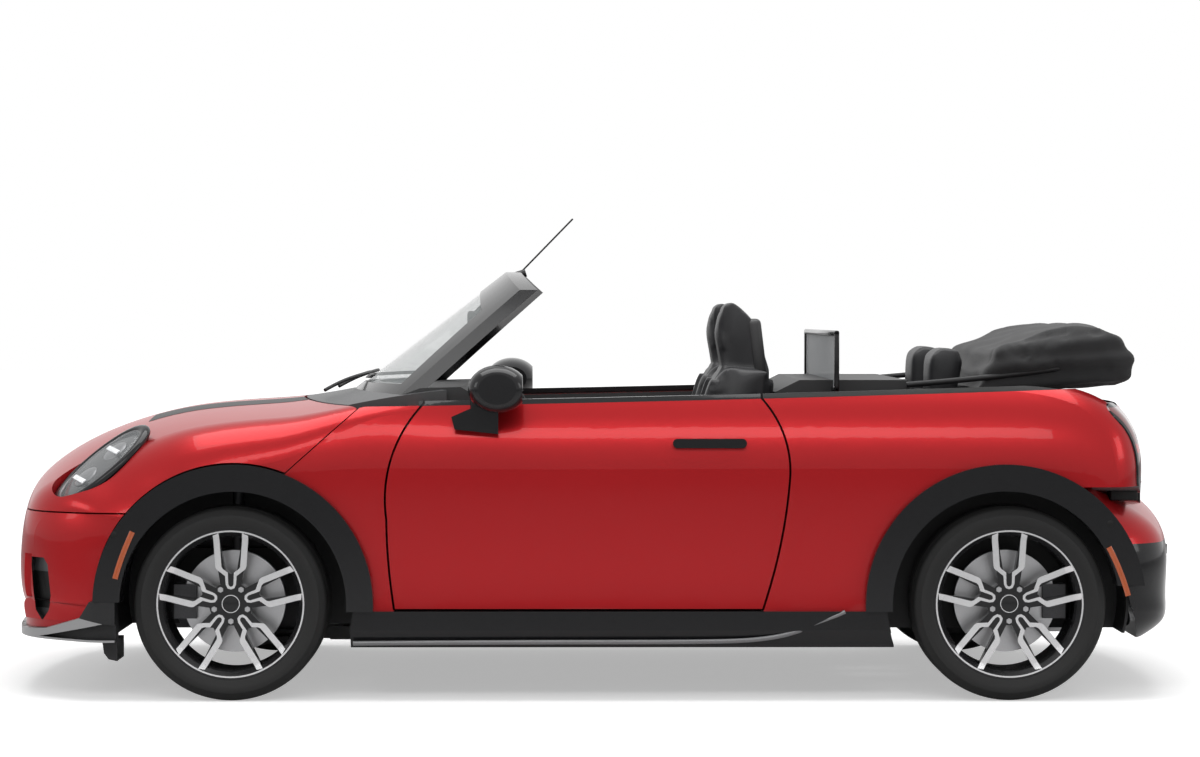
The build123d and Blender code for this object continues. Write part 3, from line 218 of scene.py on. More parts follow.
def mesh_finish():
    """Fine grey net that lets light through its holes."""
    material = finish("deflector_net", (0.30, 0.31, 0.32), 0.6, shade=0.8, grain=200)
    nodes, links = material.node_tree.nodes, material.node_tree.links
    shader = nodes["Principled BSDF"]
    place = nodes.new("ShaderNodeTexCoord")
    holes = nodes.new("ShaderNodeTexVoronoi")
    holes.inputs["Scale"].default_value = 320.0
    links.new(place.outputs["Object"], holes.inputs["Vector"])
    span = nodes.new("ShaderNodeMapRange")
    span.inputs["From Min"].default_value = 0.25
    span.inputs["From Max"].default_value = 0.45
    span.inputs["To Min"].default_value = 0.25
    span.inputs["To Max"].default_value = 0.9
    links.new(holes.outputs["Distance"], span.inputs["Value"])
    links.new(span.outputs["Result"], shader.inputs["Alpha"])
    return material


# ---------------------------------------------------------------- making pieces
def add_piece(name, mesh_maker, finish_names, body, sharp=35.0):
    """Turns a bmesh into a finished piece that rides on a body.

    A copy of a construction node keeps its own normals; any other shape is smooth up to the sharp angle.
    """
    mesh = bpy.data.meshes.new(name)
    mesh_maker.to_mesh(mesh)
    mesh_maker.free()
    piece = bpy.data.objects.new(name, mesh)
    bpy.context.scene.collection.objects.link(piece)
    for finish_name in [finish_names] if isinstance(finish_names, str) else finish_names:
        mesh.materials.append(finishes[finish_name])
    mesh.shade_smooth()
    facing = mesh.attributes.get(FACING)
    if facing:
        mesh.normals_split_custom_set([corner.vector for corner in facing.data])
        mesh.attributes.remove(facing)
    else:
        mesh.set_sharp_from_angle(angle=math.radians(sharp))
    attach(piece, body)
    return piece


def merged_copy(node):
    """The construction node's shape as a joined bmesh, which remembers how its true surface faces."""
    mesh = frame["nodes"][node].data
    shape = bmesh.new()
    shape.from_mesh(mesh)
    facing = shape.loops.layers.float_vector.new(FACING)
    normals = iter([corner.vector.copy() for corner in mesh.corner_normals])
    for face in shape.faces:
        for corner in face.loops:
            corner[facing] = next(normals)
    bmesh.ops.remove_doubles(shape, verts=shape.verts, dist=0.00002)
    for face in shape.faces:
        face.material_index = 0
    return shape


def body_of(node):
    """Name of the moving body that a construction node belongs to."""
    for body, members in frame["record"]["behaviour"]["bodies"].items():
        if node in members:
            return body
    raise RuntimeError(f"no body holds {node}")


def dress(node, finish_names, paint_faces=None):
    """Smooth skin over one construction node, with an optional second finish on some faces."""
    shape = merged_copy(node)
    if paint_faces:
        for face in shape.faces:
            face.material_index = paint_faces(face)
    piece = add_piece(node + "_skin", shape, finish_names, body_of(node))
    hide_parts(node)
    return piece


def every_part(shape):
    return list(shape.verts) + list(shape.edges) + list(shape.faces)


def cut(shape, place, normal, clear=False, parts=None):
    """Cuts a bmesh, or some parts of it, by a plane, and may drop what lies in front of it."""
    bmesh.ops.bisect_plane(shape, geom=parts or every_part(shape), dist=0.00001, plane_co=place,
                           plane_no=normal, clear_outer=clear)


def rounded_box(shape, low, high, radius, segments=3):
    """Box between two corners with rounded edges, added to a bmesh."""
    low, high = Vector(low), Vector(high)
    size, centre = high - low, (high + low) / 2
    matrix = Matrix.Translation(centre) @ Matrix.Diagonal((*size, 1))
    made = bmesh.ops.create_cube(shape, size=1.0, matrix=matrix)
    edges = {edge for vert in made["verts"] for edge in vert.link_edges}
    bmesh.ops.bevel(shape, geom=list(edges), offset=radius, offset_type="OFFSET", segments=segments,
                    profile=0.5, affect="EDGES", material=-1)


def turned(shape, outline, centre, axis=(0, 1, 0), start=(1, 0, 0), steps=96, closed=True):
    """Spins an outline of (radius, along) pairs round an axis."""
    axis, start, centre = Vector(axis).normalized(), Vector(start).normalized(), Vector(centre)
    verts = [shape.verts.new(centre + start * radius + axis * along) for radius, along in outline]
    pairs = list(zip(verts, verts[1:] + verts[:1])) if closed else list(zip(verts, verts[1:]))
    edges = [shape.edges.new(pair) for pair in pairs]
    bmesh.ops.spin(shape, geom=verts + edges, cent=centre, axis=axis, angle=math.tau, steps=steps,
                   use_merge=True)
    bmesh.ops.remove_doubles(shape, verts=shape.verts, dist=0.00001)
    bmesh.ops.recalc_face_normals(shape, faces=shape.faces)


def tube(name, points, radius, finish_name, body, flat=1.0):
    """Smooth round or flattened bar along a few points, as a mesh."""
    curve = bpy.data.curves.new(name, "CURVE")
    curve.dimensions = "3D"
    spline = curve.splines.new("NURBS")
    spline.points.add(len(points) - 1)
    for point, place in zip(spline.points, points):
        point.co = (*place, 1)
    spline.order_u = 3
    spline.use_endpoint_u = True
    curve.bevel_depth = radius
    curve.bevel_resolution = 3
    curve.use_fill_caps = True
    temporary = bpy.data.objects.new(name, curve)
    mesh = bpy.data.meshes.new_from_object(temporary)
    bpy.data.objects.remove(temporary)
    shape = bmesh.new()
    shape.from_mesh(mesh)
    bpy.data.meshes.remove(mesh)
    bmesh.ops.remove_doubles(shape, verts=shape.verts, dist=0.00001)
    if flat != 1.0:
        middle = sum((Vector(p) for p in points), Vector()) / len(points)
        for vert in shape.verts:
            vert.co.y = middle.y + (vert.co.y - middle.y) * flat
    bmesh.ops.recalc_face_normals(shape, faces=shape.faces)
    return add_piece(name, shape, finish_name, body, 50)


def node_box(node):
    low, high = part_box(node)
    return Vector(low), Vector(high)


# ---------------------------------------------------------------- stage
CAMERA_PLACE = (0.023, 10.8, 1.23)
CAMERA_YAW = math.radians(0.22)
CAMERA_PITCH = math.radians(1.131)
CAMERA_LENS, CAMERA_SENSOR = 93.45, 36
FLOOR_HALF = 60.0
SURROUNDINGS = (0.42, 1.0)      # strength of the white surroundings as light, and as seen or mirrored
FLOOR_GLOW = (0.42, 0.85)       # the floor's own glow near the car and far from it
GLOW_REACH = (2.2, 5.5)
LIGHTS = (("roof_light", (0.0, 0.3, 4.6), (6.0, 3.2), 240, (0, 0, 0)),
          ("side_light", (0.4, 6.5, 4.4), (6.5, 1.2), 110, (0, 0.6, 0.9)),
          ("front_light", (6.0, 3.0, 2.8), (2.0, 2.0), 40, (1.4, 0.2, 0.6)),
          ("back_light", (-6.0, 3.0, 2.8), (2.0, 2.0), 40, (-1.4, 0.2, 0.6)))


def soft_light(name, place, size, watts, aim):
    lamp = bpy.data.lights.new(name, "AREA")
    lamp.shape = "RECTANGLE"
    lamp.size, lamp.size_y = size
    lamp.energy = watts
    light = bpy.data.objects.new(name, lamp)
    light.location = place
    light.rotation_euler = (Vector(aim) - Vector(place)).to_track_quat("-Z", "Y").to_euler()
    bpy.context.scene.collection.objects.link(light)


def make_stage():
    scene = bpy.context.scene
    camera = bpy.data.cameras.new("camera")
    camera.lens = CAMERA_LENS
    camera.sensor_width = CAMERA_SENSOR
    holder = bpy.data.objects.new("camera", camera)
    holder.location = CAMERA_PLACE
    holder.rotation_euler = (math.pi / 2 - CAMERA_PITCH, 0, math.pi - CAMERA_YAW)
    scene.collection.objects.link(holder)
    scene.camera = holder

    shape = bmesh.new()
    bmesh.ops.create_grid(shape, x_segments=4, y_segments=4, size=FLOOR_HALF)
    mesh = bpy.data.meshes.new("studio_floor")
    shape.to_mesh(mesh)
    shape.free()
    floor = bpy.data.objects.new("studio_floor", mesh)
    scene.collection.objects.link(floor)
    mesh.materials.append(floor_finish())

    world = bpy.data.worlds.new("studio")
    scene.world = world
    world.use_nodes = True
    nodes, links = world.node_tree.nodes, world.node_tree.links
    backdrop = nodes["Background"]
    path = nodes.new("ShaderNodeLightPath")
    total = path.outputs["Is Camera Ray"]
    for kind in ("Is Glossy Ray", "Is Transmission Ray"):
        add = nodes.new("ShaderNodeMath")
        add.operation = "ADD"
        links.new(total, add.inputs[0])
        links.new(path.outputs[kind], add.inputs[1])
        total = add.outputs["Value"]
    span = nodes.new("ShaderNodeMapRange")
    span.inputs["To Min"].default_value, span.inputs["To Max"].default_value = SURROUNDINGS
    links.new(total, span.inputs["Value"])
    links.new(span.outputs["Result"], backdrop.inputs["Strength"])
    backdrop.inputs["Color"].default_value = (1, 1, 1, 1)

    for light in LIGHTS:
        soft_light(*light)
    scene.view_settings.view_transform = "Standard"


def floor_finish():
    """Pale floor that keeps the car's shadow and looks white to the camera."""
    material = bpy.data.materials.new("studio_floor")
    material.use_nodes = True
    nodes, links = material.node_tree.nodes, material.node_tree.links
    shader = nodes["Principled BSDF"]
    shader.inputs["Base Color"].default_value = (0.80, 0.80, 0.80, 1)
    shader.inputs["Roughness"].default_value = 1.0
    shader.inputs["Specular IOR Level"].default_value = 0.0
    glow = nodes.new("ShaderNodeEmission")
    path = nodes.new("ShaderNodeLightPath")
    place = nodes.new("ShaderNodeTexCoord")
    away = nodes.new("ShaderNodeVectorMath")
    away.operation = "LENGTH"
    links.new(place.outputs["Object"], away.inputs[0])
    span = nodes.new("ShaderNodeMapRange")
    span.inputs["From Min"].default_value, span.inputs["From Max"].default_value = GLOW_REACH
    span.inputs["To Min"].default_value, span.inputs["To Max"].default_value = FLOOR_GLOW
    links.new(away.outputs["Value"], span.inputs["Value"])
    seen = nodes.new("ShaderNodeMath")
    seen.operation = "MULTIPLY"
    links.new(span.outputs["Result"], seen.inputs[0])
    links.new(path.outputs["Is Camera Ray"], seen.inputs[1])
    links.new(seen.outputs["Value"], glow.inputs["Strength"])
    add = nodes.new("ShaderNodeAddShader")
    links.new(shader.outputs["BSDF"], add.inputs[0])
    links.new(glow.outputs["Emission"], add.inputs[1])
    links.new(add.outputs["Shader"], nodes["Material Output"].inputs["Surface"])
    return material


# ---------------------------------------------------------------- body panels
def make_body():
    for node in ("hood", "side_panels", "rear_bumper", "quarter_panels", "tailgate", "door_left",
                 "door_right"):
        dress(node, ("paint", "cabin"), inner_faces)
    make_nose()
    for node in ("arch_trims", "sills", "grille", "rear_valance"):
        dress(node, "trim")
    make_lip()
    dress("cowl", "cowl")
    for node, finish_name in (("floor_pan", "carpet"), ("front_frame", "structure"), ("engine_block", "cast"),
                              ("rear_axle", "cast"), ("exhaust", "steel"), ("wheel_housings", "plastic"),
                              ("knuckle_left", "cast"), ("knuckle_right", "cast"), ("belt_rails", "seal")):
        dress(node, finish_name)


AIR_SLOT = ((1.834, 0.452), (1.784, 0.452), (1.769, 0.430), (1.758, 0.330), (1.768, 0.282), (1.794, 0.246),
            (1.819, 0.280), (1.832, 0.420))
SLOT_UPPER = 0.405      # the grey facet starts here
SLOT_LOWER = 0.285      # the grey lower end stops here
SLOT_DEPTH = 0.030
SLOT_SLANT = 0.004
SLOT_REACH = (1.66, 0.18, 0.52)     # rear, low and high limits of what the slot's cuts may touch
SLOT_NEAR = 0.35        # only the skin further out than this from the middle is cut


def make_nose():
    """Painted front skin with an upright air slot pressed into each corner."""
    shape = merged_copy("front_bumper")
    facing = shape.loops.layers.float_vector[FACING]
    edges = list(zip(AIR_SLOT, AIR_SLOT[1:] + AIR_SLOT[:1]))
    planes = [((x0, 0, z0), (z1 - z0, 0, x0 - x1)) for (x0, z0), (x1, z1) in edges]
    planes += [((0, 0, height), (0, 0, 1)) for height in (SLOT_UPPER, SLOT_LOWER)]
    for place, normal in planes:
        cut(shape, place, normal, parts=[part for part in every_part(shape) if close_to_slot(part)])

    def inside(face):
        middle = face.calc_center_median()
        turns = [(x1 - x0) * (middle.z - z0) - (z1 - z0) * (middle.x - x0) for (x0, z0), (x1, z1) in edges]
        return all(turn > 0 for turn in turns) or all(turn < 0 for turn in turns)

    for sign in (1, -1):
        mouth = [face for face in shape.faces
                 if face.calc_center_median().y * sign > SLOT_NEAR and inside(face)]
        outer = [face for face in mouth if face.normal.y * sign > 0]
        pushed = bmesh.ops.extrude_face_region(shape, geom=outer)["geom"]
        deep = [part for part in pushed if isinstance(part, bmesh.types.BMVert)]
        bmesh.ops.translate(shape, verts=deep, vec=(-SLOT_SLANT, -sign * SLOT_DEPTH, 0))
        for face in {face for vert in deep for face in vert.link_faces}:
            middle = face.calc_center_median().z
            face.material_index = 3 if middle > SLOT_UPPER or middle < SLOT_LOWER else 2
            face.normal_update()
            for corner in face.loops:
                corner[facing] = face.normal
        spent = [face for face in mouth if face.is_valid]
        bmesh.ops.delete(shape, geom=spent, context="FACES")
    for face in shape.faces:
        if face.material_index == 0:
            face.material_index = inner_faces(face)
    piece = add_piece("front_bumper_skin", shape, ("paint", "cabin", "seal", "cowl"), "chassis")
    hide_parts("front_bumper")


def close_to_slot(part):
    """True for a part of the mesh near an air slot, which is all that the slot's cuts may touch."""
    verts = [part] if isinstance(part, bmesh.types.BMVert) else part.verts
    rear, low, high = SLOT_REACH
    return any(abs(vert.co.y) > SLOT_NEAR and vert.co.x > rear and low < vert.co.z < high for vert in verts)


WING_REAR = (1.5745, 0.249)
WING_JOINT = (1.6535, 0.265)
WING_LOW = (1.8075, 0.196)
BLADE = (0.188, 0.197)


def make_lip():
    """Front lip with a silver wing rising to the corner and a silver lower edge."""
    shape = merged_copy("front_lip")
    for (x0, z0), (x1, z1) in ((WING_REAR, WING_JOINT), (WING_REAR, WING_LOW)):
        cut(shape, (x0, 0, z0), (z1 - z0, 0, x0 - x1))
    for face in shape.faces:
        middle = face.calc_center_median()
        over = below_line(middle, WING_REAR, WING_JOINT)
        under = not below_line(middle, WING_REAR, WING_LOW)
        outside = face.normal.y * middle.y > 0.0 or face.normal.x > 0.2
        wing = middle.x > WING_REAR[0] and over and under
        blade = BLADE[0] < middle.z < BLADE[1]
        face.material_index = 1 if outside and (wing or blade) else 0
    piece = add_piece("front_lip_skin", shape, ("plastic", "lip_silver"), "chassis")
    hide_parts("front_lip")


def below_line(place, start, end):
    share = (place.x - start[0]) / (end[0] - start[0])
    return place.z < start[1] + (end[1] - start[1]) * share


def inner_faces(face):
    """Faces that look at the middle of the car, inside the wing line, carry the cabin's trim."""
    middle = face.calc_center_median()
    inward = -face.normal.y * math.copysign(1, middle.y)
    return 1 if inward > 0.3 and abs(middle.y) < 0.76 and -1.7 < middle.x < 0.62 else 0


STRIPE_REAR = 0.70
STRIPE_PROUD = 0.0008


def make_stripes(sizes):
    """Two dark stripes laid on the hood."""
    for side, sign in SIDES:
        shape = merged_copy("hood")
        for place, away in (((0, sign * sizes.stripe_near, 0), (0, -sign, 0)),
                            ((0, sign * sizes.stripe_far, 0), (0, sign, 0)),
                            ((sizes.stripe_front, 0, 0), (1, 0, 0)),
                            ((STRIPE_REAR, 0, 0), (-1, 0, 0))):
            cut(shape, place, away, clear=True)
        hidden = [face for face in shape.faces if face.normal.z <= 0.3]
        bmesh.ops.delete(shape, geom=hidden, context="FACES")
        bmesh.ops.translate(shape, verts=shape.verts, vec=(0, 0, STRIPE_PROUD))
        add_piece(f"hood_stripe_{side}", shape, "plastic", "hood")


SEAL_MIDDLE = Vector((-1.710, 0.670, 0.6535))
SEAL_HALF = Vector((0.045, 0.072, 0.0175))
STRIP_Y = 0.853
STRIP_ROUTE = ((0.775, 0.186), (0.30, 0.190), (-0.35, 0.190), (-0.55, 0.198), (-0.68, 0.232), (-0.80, 0.286))
ARCH_FACE = 0.873
MARKERS = {"front_marker": ((1.476, 0.545), (1.512, 0.47), (1.532, 0.395)),
           "rear_marker": ((-1.640, 0.495), (-1.680, 0.42), (-1.702, 0.34))}
SENSORS = {"front_sensor": (1.535, 0.535), "rear_sensor": (-1.645, 0.57)}


def make_tail_seals():
    """Dark filler in the step between each tail light's corner and the rear bumper."""
    for side, sign in SIDES:
        middle = SEAL_MIDDLE * Vector((1, sign, 1))
        shape = bmesh.new()
        rounded_box(shape, middle - SEAL_HALF, middle + SEAL_HALF, 0.006)
        add_piece(f"tail_seal_{side}", shape, "seal", "chassis", 40)


def make_strips():
    """Strip along each sill, and the markers and sensors on the arches."""
    for side, sign in SIDES:
        tube(f"sill_strip_{side}", [(x, sign * STRIP_Y, z) for x, z in STRIP_ROUTE], 0.0075, "dark_silver",
             "chassis", 0.6)
        for name, route in MARKERS.items():
            tube(f"{name}_{side}", [(x, sign * ARCH_FACE, z) for x, z in route], 0.009, "amber", "chassis",
                 0.4)
        for name, (x, z) in SENSORS.items():
            shape = bmesh.new()
            turned(shape, [(0.0001, 0.0015), (0.008, 0.0015), (0.011, 0), (0.0001, 0)],
                   (x, sign * (ARCH_FACE - 0.0025), z), axis=(0, sign, 0), steps=24, closed=False)
            add_piece(f"{name}_{side}", shape, "seal", "chassis")


# ---------------------------------------------------------------- wheels
GROOVES = (-0.060, -0.021, 0.021, 0.060)
BEAD_RADIUS = 0.233
FORKS = 5
FORK_STEP = 0.012
FORK_PROUD = 0.0012
DISC_DEPTH, DISC_REACH = 0.090, 0.17
RIM_DEPTH = 0.05
RIM_EDGE = ((0.2310, -0.001), (0.2315, 0.0012), (0.2365, 0.0012), (0.2372, -0.001))
HUB_SINK = 0.016


def tyre_outline(radius, inner, half, groove):
    """Section of one tyre, with four round grooves in its tread and ribs on its walls."""
    crown = []
    for middle in GROOVES:
        crown += [(radius, middle - 0.0055), (radius - groove, middle - 0.004),
                  (radius - groove, middle + 0.004), (radius, middle + 0.0055)]
    wall = [(inner, 0.086), (inner + 0.016, half - 0.010), (inner + 0.030, half - 0.004),
            (radius - 0.040, half), (radius - 0.026, half - 0.001), (radius - 0.024, half - 0.004),
            (radius - 0.010, half - 0.010), (radius - 0.003, half - 0.020), (radius - 0.0005, half - 0.030)]
    return [(r, -y) for r, y in wall] + crown + [(r, y) for r, y in reversed(wall)]


def make_wheels(sizes):
    for corner in CORNERS:
        body = "wheel_" + corner
        sign = 1 if "left" in corner else -1
        low, high = node_box("tyre_" + corner)
        centre = (low + high) / 2
        radius, half = (high.z - low.z) / 2 - 0.0002, (high.y - low.y) / 2
        shape = bmesh.new()
        turned(shape, tyre_outline(radius, BEAD_RADIUS, half, sizes.tread_groove), centre, steps=120)
        tyre = add_piece("tread_" + corner, shape, "rubber", body, 40)
        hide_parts("tyre_" + corner)
        dress_rim(corner, body, sign, centre)
        make_bolts(corner, body, sign, centre, sizes)


FORK_OUTER = [(-0.0573, 0.229), (-0.0500, 0.119), (-0.0465, 0.111), (-0.0185, 0.089), (-0.0165, 0.062),
              (-0.0110, 0.050), (0.0, 0.046)]
FORK_INNER = [(-0.0379, 0.229), (-0.0300, 0.119), (-0.0260, 0.112), (-0.0095, 0.100), (-0.0085, 0.063),
              (-0.0055, 0.057), (0.0, 0.0545)]


def dress_rim(corner, body, sign, centre):
    """Black rim with a steel brake disc behind it, and machined faces laid on its forks."""
    low, high = node_box("rim_" + corner)
    edge = high.y if sign > 0 else low.y

    def zone(face):
        middle = face.calc_center_median()
        reach = math.hypot(middle.x - centre.x, middle.z - centre.z)
        return 1 if (edge - middle.y) * sign > DISC_DEPTH and reach < DISC_REACH else 0

    rim = dress("rim_" + corner, ("wheel_black", "steel"), zone)
    ground = BVHTree.FromPolygons([vert.co for vert in rim.data.vertices],
                                  [tuple(face.vertices) for face in rim.data.polygons])
    faces = bmesh.new()
    for fork in range(FORKS):
        turn = math.tau * fork / FORKS
        for flip in (1, -1):
            add_prong(faces, ground, centre, edge, sign, turn, flip)
    bmesh.ops.remove_doubles(faces, verts=faces.verts, dist=0.0004)
    bmesh.ops.recalc_face_normals(faces, faces=faces.faces)
    bmesh.ops.solidify(faces, geom=list(faces.faces), thickness=0.0016)
    bmesh.ops.recalc_face_normals(faces, faces=faces.faces)
    add_piece("fork_faces_" + corner, faces, "silver", body, 30)
    lip = bmesh.new()
    turned(lip, RIM_EDGE, (centre.x, edge, centre.z), axis=(0, sign, 0), steps=96)
    add_piece("rim_edge_" + corner, lip, "silver", body, 40)


def add_prong(faces, ground, centre, edge, sign, turn, flip):
    """One half of a fork's machined face, laid on the rim's own surface."""
    def on_wheel(point, y):
        x, z = point[0] * flip, point[1]
        return Vector((centre.x + x * math.cos(turn) - z * math.sin(turn), y,
                       centre.z + x * math.sin(turn) + z * math.cos(turn)))

    pairs = list(zip(even_steps(FORK_OUTER), even_steps(FORK_INNER)))
    inwards = Vector((0, -sign, 0))
    depths = []
    for pair in pairs:
        hits = [ground.ray_cast(on_wheel(point, edge + sign * 0.1), inwards, 0.16)[0] for point in pair]
        depths.append([hit.y for hit in hits if hit and abs(hit.y - edge) < RIM_DEPTH])
    known = sum(depths, [])
    last = sum(known) / len(known)
    rows = []
    for pair, found in zip(pairs, depths):
        last = max(found, key=lambda y: y * sign) if found else last
        rows.append([faces.verts.new(on_wheel(point, last + sign * FORK_PROUD)) for point in pair])
    for near, far in zip(rows, rows[1:]):
        faces.faces.new((near[0], near[1], far[1], far[0]))


def even_steps(line):
    """Points along a line of corners, as many on each run as a fork's outer line takes there."""
    out = [line[0]]
    for (x0, z0), (x1, z1), (u0, v0), (u1, v1) in zip(line, line[1:], FORK_OUTER, FORK_OUTER[1:]):
        count = max(1, round(math.hypot(u1 - u0, v1 - v0) / FORK_STEP))
        out += [(x0 + (x1 - x0) * i / count, z0 + (z1 - z0) * i / count) for i in range(1, count + 1)]
    return out


def make_bolts(corner, body, sign, centre, sizes):
    """Five bolts and the plain centre cap with its ring."""
    low, high = node_box("rim_" + corner)
    face_y = (high.y if sign > 0 else low.y) - sign * HUB_SINK
    shape = bmesh.new()
    for i in range(FORKS):
        turn = math.tau * (0.25 + (i + 0.5) / FORKS)
        place = (centre.x + sizes.bolt_circle * math.cos(turn), face_y,
                 centre.z + sizes.bolt_circle * math.sin(turn))
        matrix = Matrix.Translation(place) @ Matrix.Rotation(math.pi / 2, 4, "X")
        bmesh.ops.create_cone(shape, cap_ends=True, segments=6, radius1=0.0095, radius2=0.0088, depth=0.010,
                              matrix=matrix)
    bmesh.ops.recalc_face_normals(shape, faces=shape.faces)
    add_piece("bolts_" + corner, shape, "steel", body, 30)
    cap = bmesh.new()
    r = sizes.cap_radius
    turned(cap, [(0.0001, 0.0075), (r * 0.6, 0.007), (r * 0.86, 0.005), (r * 0.92, 0), (0.0001, 0)],
           (centre.x, face_y, centre.z), axis=(0, sign, 0), steps=48, closed=False)
    add_piece("cap_" + corner, cap, "trim", body, 40)
    ring = bmesh.new()
    turned(ring, [(r * 0.90, 0), (r * 0.91, 0.006), (r, 0.006), (r * 1.03, 0)], (centre.x, face_y, centre.z),
           axis=(0, sign, 0), steps=48)
    add_piece("cap_ring_" + corner, ring, "silver", body, 40)


# ---------------------------------------------------------------- lamps
LAMP_CENTRE = Vector((1.6085, 0.655, 0.745))
LAMP_NORMAL = Vector((0.51, 0.41, 0.757)).normalized()
LAMP_ALONG = Vector((-0.713, -0.289, 0.637))
LAMP_HALF = (0.186, 0.108)


def lamp_matrix(sign, depth):
    """Places a shape drawn flat in the lamp's own plane, on either side of the car."""
    along = LAMP_ALONG.normalized()
    across = LAMP_NORMAL.cross(along)
    matrix = Matrix((along, across, LAMP_NORMAL)).transposed().to_4x4()
    matrix = Matrix.Translation(LAMP_CENTRE - LAMP_NORMAL * depth) @ matrix
    return Matrix.Diagonal((1, sign, 1, 1)) @ matrix


def place_lamp_shape(shape, sign, depth):
    bmesh.ops.transform(shape, matrix=lamp_matrix(sign, depth), verts=shape.verts)
    bmesh.ops.recalc_face_normals(shape, faces=shape.faces)


def oval_ring(half_long, half_wide, thick, tall):
    """Oval ring with a rounded section, drawn flat."""
    shape = bmesh.new()
    outline = [(1 + thick * math.cos(a) / half_wide, tall * math.sin(a)) for a in
               [math.tau * i / 12 for i in range(12)]]
    turned(shape, outline, (0, 0, 0), axis=(0, 0, 1), steps=96)
    bmesh.ops.scale(shape, vec=(half_long, half_wide, 1), verts=shape.verts)
    return shape


def oval_dome(half_long, half_wide, height):
    """Half of a flattened ball, drawn flat."""
    shape = bmesh.new()
    bmesh.ops.create_uvsphere(shape, u_segments=64, v_segments=32, radius=1.0)
    cut(shape, (0, 0, 0), (0, 0, -1), clear=True)
    bmesh.ops.scale(shape, vec=(half_long, half_wide, height), verts=shape.verts)
    return shape


EYES = (-0.062, 0.062)
BARS = (-0.085, 0.060)
BAR_LOW, BAR_HIGH = Vector((-0.009, -0.060, -0.003)), Vector((0.009, 0.030, 0.003))


def make_headlights(sizes):
    """Each lamp's bezel, inner ring, two eyes, two lit bars and domed lens, on its black housing."""
    long, wide = LAMP_HALF
    dress("headlights", "trim")
    for side, sign in SIDES:
        ring = oval_ring(long - 0.006, wide - 0.006, sizes.bezel, sizes.bezel * 1.3)
        place_lamp_shape(ring, sign, 0.002)
        add_piece(f"lamp_bezel_{side}", ring, "trim", "chassis", 60)
        edge = oval_ring(long - 0.018, wide - 0.018, 0.003, 0.004)
        place_lamp_shape(edge, sign, -0.006)
        add_piece(f"lamp_edge_{side}", edge, "dark_silver", "chassis", 60)
        for number, along in enumerate(EYES):
            eye = oval_dome(0.046, 0.042, 0.010)
            bmesh.ops.translate(eye, vec=(along, -0.010, 0), verts=eye.verts)
            place_lamp_shape(eye, sign, -0.010)
            add_piece(f"lamp_eye_{number}_{side}", eye, "dark_silver", "chassis", 60)
        bars = bmesh.new()
        for along in BARS:
            place = Vector((along, 0, 0))
            rounded_box(bars, BAR_LOW + place, BAR_HIGH + place, 0.002)
        place_lamp_shape(bars, sign, -0.021)
        add_piece(f"lamp_bars_{side}", bars, "white", "chassis", 40)
        lens = oval_dome(long - 0.012, wide - 0.012, 0.028)
        place_lamp_shape(lens, sign, 0.0)
        add_piece(f"lamp_lens_{side}", lens, "lens", "chassis", 60)


TAIL_MIDDLE = (0.684, 0.806)
TAIL_HALF = (0.092, 0.145)
TAIL_RIM = 0.013
TAIL_FOOT = 0.052
BAR_HALF = 0.014


def make_tail_lights():
    """The lights' skin in zones: black rim, red lens, brighter bar across it and silver foot."""
    shape = merged_copy("tail_lights")
    y, z = TAIL_MIDDLE
    rim = TAIL_RIM
    foot = z - TAIL_HALF[1] + TAIL_FOOT
    cuts = [((0, y + TAIL_HALF[0] - rim, 0), (0, 1, 0)), ((0, y - TAIL_HALF[0] + rim, 0), (0, 1, 0)),
            ((0, 0, z + TAIL_HALF[1] - rim), (0, 0, 1)), ((0, 0, foot), (0, 0, 1)),
            ((0, 0, z - BAR_HALF), (0, 0, 1)), ((0, 0, z + BAR_HALF), (0, 0, 1))]
    for place, normal in cuts:
        for sign in (1, -1):
            cut(shape, (place[0], place[1] * sign, place[2]), normal)

    def zone(face):
        middle = face.calc_center_median()
        across = abs(abs(middle.y) - y)
        if face.normal.x > -0.1 and abs(face.normal.y) < 0.5:
            return 0
        if across > TAIL_HALF[0] - rim or middle.z > z + TAIL_HALF[1] - rim:
            return 0
        if middle.z < foot:
            return 2
        return 3 if abs(middle.z - z) < BAR_HALF else 1

    for face in shape.faces:
        face.material_index = zone(face)
    piece = add_piece("tail_lights_skin", shape, ("trim", "red_lens", "dark_silver", "red_glow"), "chassis")
    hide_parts("tail_lights")


# ---------------------------------------------------------------- screen, mirrors, wipers
WIPER_ARMS = ((0.36, -0.10), (-0.24, -0.52))      # Y of each arm's pivot and tip


def make_screen():
    """Screen with its frame and wipers, and each door's moulding, handle and mirror."""
    for node, finish_name in (("windshield_frame", "trim"), ("windshield_glass", "glass"),
                              ("wipers", "plastic"), ("door_fittings_left", "trim"),
                              ("door_fittings_right", "trim")):
        dress(node, finish_name)
    for number, (pivot, tip) in enumerate(WIPER_ARMS):
        tube(f"wiper_arm_{number}", [(0.905, pivot, 0.985), (0.860, pivot - 0.06, 1.012),
                                     (0.800, (pivot + tip) / 2, 1.034), (0.785, tip, 1.038)],
             0.006, "plastic", "chassis")


